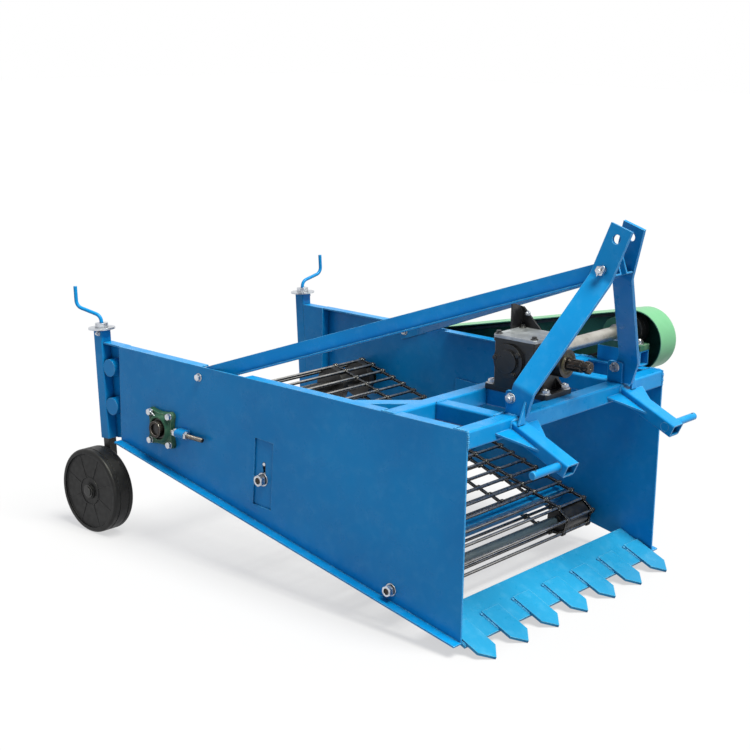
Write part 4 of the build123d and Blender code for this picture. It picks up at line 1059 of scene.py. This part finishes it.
nipple_profile = (
    (0.0035, -0.003), (0.0035, 0.004), (0.0022, 0.005), (0.003, 0.008), (0.0018, 0.0105),
)
pillow_top = Vector((cross_axis.x, wall_y, 0.0462))
turned(nipples, facing(pillow_top, (0, -0.3, 1)), nipple_profile, 14)
pillow_profile = ((0.0178, 0), (0.0262, 0), (0.0262, 0.0006), (0.0178, 0.0006))
for face_y, way in ((0.461, -1), (0.513, 1)):
    ring_place = facing(Vector((cross_axis.x, face_y, cross_axis.z)), (0, way, 0))
    turned(inner_rings, ring_place, pillow_profile, 40, closed=True)
piece("bearing_inner_rings", inner_rings, shaft_steel)
piece("grease_nipples", nipples, zinc)

# Belt drive.
# Grey iron pulleys and two rubber belts inside a guard of thin sheet, sprayed green, open towards
# the wall and held by two stays.


def pulley_iron():
    """Bare grey iron with a little rust."""
    material, tree, shader = new_finish("pulley_iron")
    rounded = soft_edge(tree, 0.001)
    colour = patchy(tree, tone(74, 74, 76), tone(52, 50, 50), 20, 6, 0.35, 0.68)
    colour = patchy(tree, colour, tone(96, 66, 46), 55, 5, 0.56, 0.74, 0.5)
    colour = worn_and_highlit_edges(tree, colour, tone(150, 148, 144), rounded, 0.88, 0.99)
    sand = relief(tree, cloud(tree, 240, 4), 0.4, 0.0006, rounded)
    dress(tree, shader, colour, uneven(tree, 70, 4, 0.4, 0.62), sand, 0.6)
    return material


coat(pulley_iron(), "drive_pulley", "driven_pulley")
belt_rubber = rubber("belt_rubber", tone(30, 30, 30), tone(52, 50, 48), (30, 5),
                     (600, 0.3, 0.0004), (90, 4, 0.6, 0.82))
coat(belt_rubber, "drive_belts")
# Painted shade: the green darkens far into the guard's inside and in its corners.
guard_inner_shade = (0.13, 0.25, 0.75, tone(22, 58, 48))
guard_green = enamel("guard_enamel", tone(106, 166, 126), tone(98, 156, 118), tone(166, 206, 180),
                     0.8, 0.36, painted_corner_shade=guard_inner_shade)
coat(guard_green, "belt_guard")

# Wheels.
# Hard black plastic moulded in one piece, with low ribs on the outer face, on greased stub axles.
# A washer on the axle's end keeps each wheel on.


def wheel_plastic():
    """Hard black plastic, dusty and scuffed on its edges."""
    material, tree, shader = new_finish("wheel_plastic")
    rounded = soft_edge(tree, 0.0015)
    colour = patchy(tree, tone(9, 9, 10), tone(17, 17, 18), 10, 6, 0.35, 0.7)
    colour = patchy(tree, colour, tone(80, 78, 74), 46, 6, 0.56, 0.8, 0.1)
    scuffs = spread(tree, cloud(tree, 80, 3), 0.4, 0.6, 0.1, 0.5)
    colour = worn_and_highlit_edges(tree, colour, tone(84, 84, 86), rounded, 0.9, 0.995, scuffs)
    grain = relief(tree, cloud(tree, 480, 2), 0.25, 0.0004, rounded)
    dress(tree, shader, colour, uneven(tree, 60, 4, 0.38, 0.56), grain)
    shader.inputs["Specular IOR Level"].default_value = 0.3
    return material


black_plastic = wheel_plastic()
coat(black_plastic, *both("wheel"))
face_depth = 0.005
spoke_count = 8
spoke_step = 360 / spoke_count
rib_foot = -0.001
# Radius, half width and rise of a spoke's two ends, and of the two round ribs.
spoke_ends = ((0.046, 0.0016, 0.0016), (0.118, 0.0011, 0.0008))
round_ribs = ((0.045, 0.0024, 0.0022), (0.119, 0.0016, 0.0012))
washer_gap = 0.0002
washer_profile = ((0.0152, 0), (0.021, 0), (0.021, 0.0026), (0.0152, 0.0026))
for side, name in ((-1, "right"), (1, "left")):
    low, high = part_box(name + "_wheel")
    outer_y = high[1] if side > 0 else low[1]
    centre = Vector(((low[0] + high[0]) / 2, outer_y, (low[2] + high[2]) / 2))
    outward = Vector((0, side, 0))
    face = facing(centre - outward * face_depth, outward)
    ribs = bmesh.new()
    for number in range(spoke_count):
        spoke_turn = math.radians(spoke_step * (number + 0.5))
        spoke = face @ Matrix.Rotation(spoke_turn, 4, "Z")
        rings = []
        for radius, half, rise in spoke_ends:
            section = ((-half, rib_foot), (-half * 0.4, rise), (half * 0.4, rise), (half, rib_foot))
            rings.append([ribs.verts.new(spoke @ Vector((radius, y, z))) for y, z in section])
        skin(ribs, rings)
    for radius, half, rise in round_ribs:
        inner, outer = radius - half, radius + half
        crest = half * 0.3
        rib = ((inner, rib_foot), (radius - crest, rise), (radius + crest, rise), (outer, rib_foot))
        turned(ribs, face, rib, 64, closed=True)
    piece(name + "_wheel_ribs", ribs, black_plastic, name + "_wheel_set")
    keeper = bmesh.new()
    washer_place = facing(centre + outward * washer_gap, outward)
    turned(keeper, washer_place, washer_profile, 36, closed=True)
    piece(name + "_wheel_washer", keeper, roller_black, name + "_leg_set")

# Jacks.
# The jack screws, with a disc and a boss on each post, are plated like the bolts.
# A small bolt in each post's outer side keeps its leg from turning.
jack_bolts = bmesh.new()
for side in (-1, 1):
    leg_bolt = Vector((-1.5500, side * wall_y, -0.068))
    bolt(jack_bolts, facing(leg_bolt, (0, side, 0)), m8, 0.006)
piece("jack_bolts", jack_bolts, zinc)
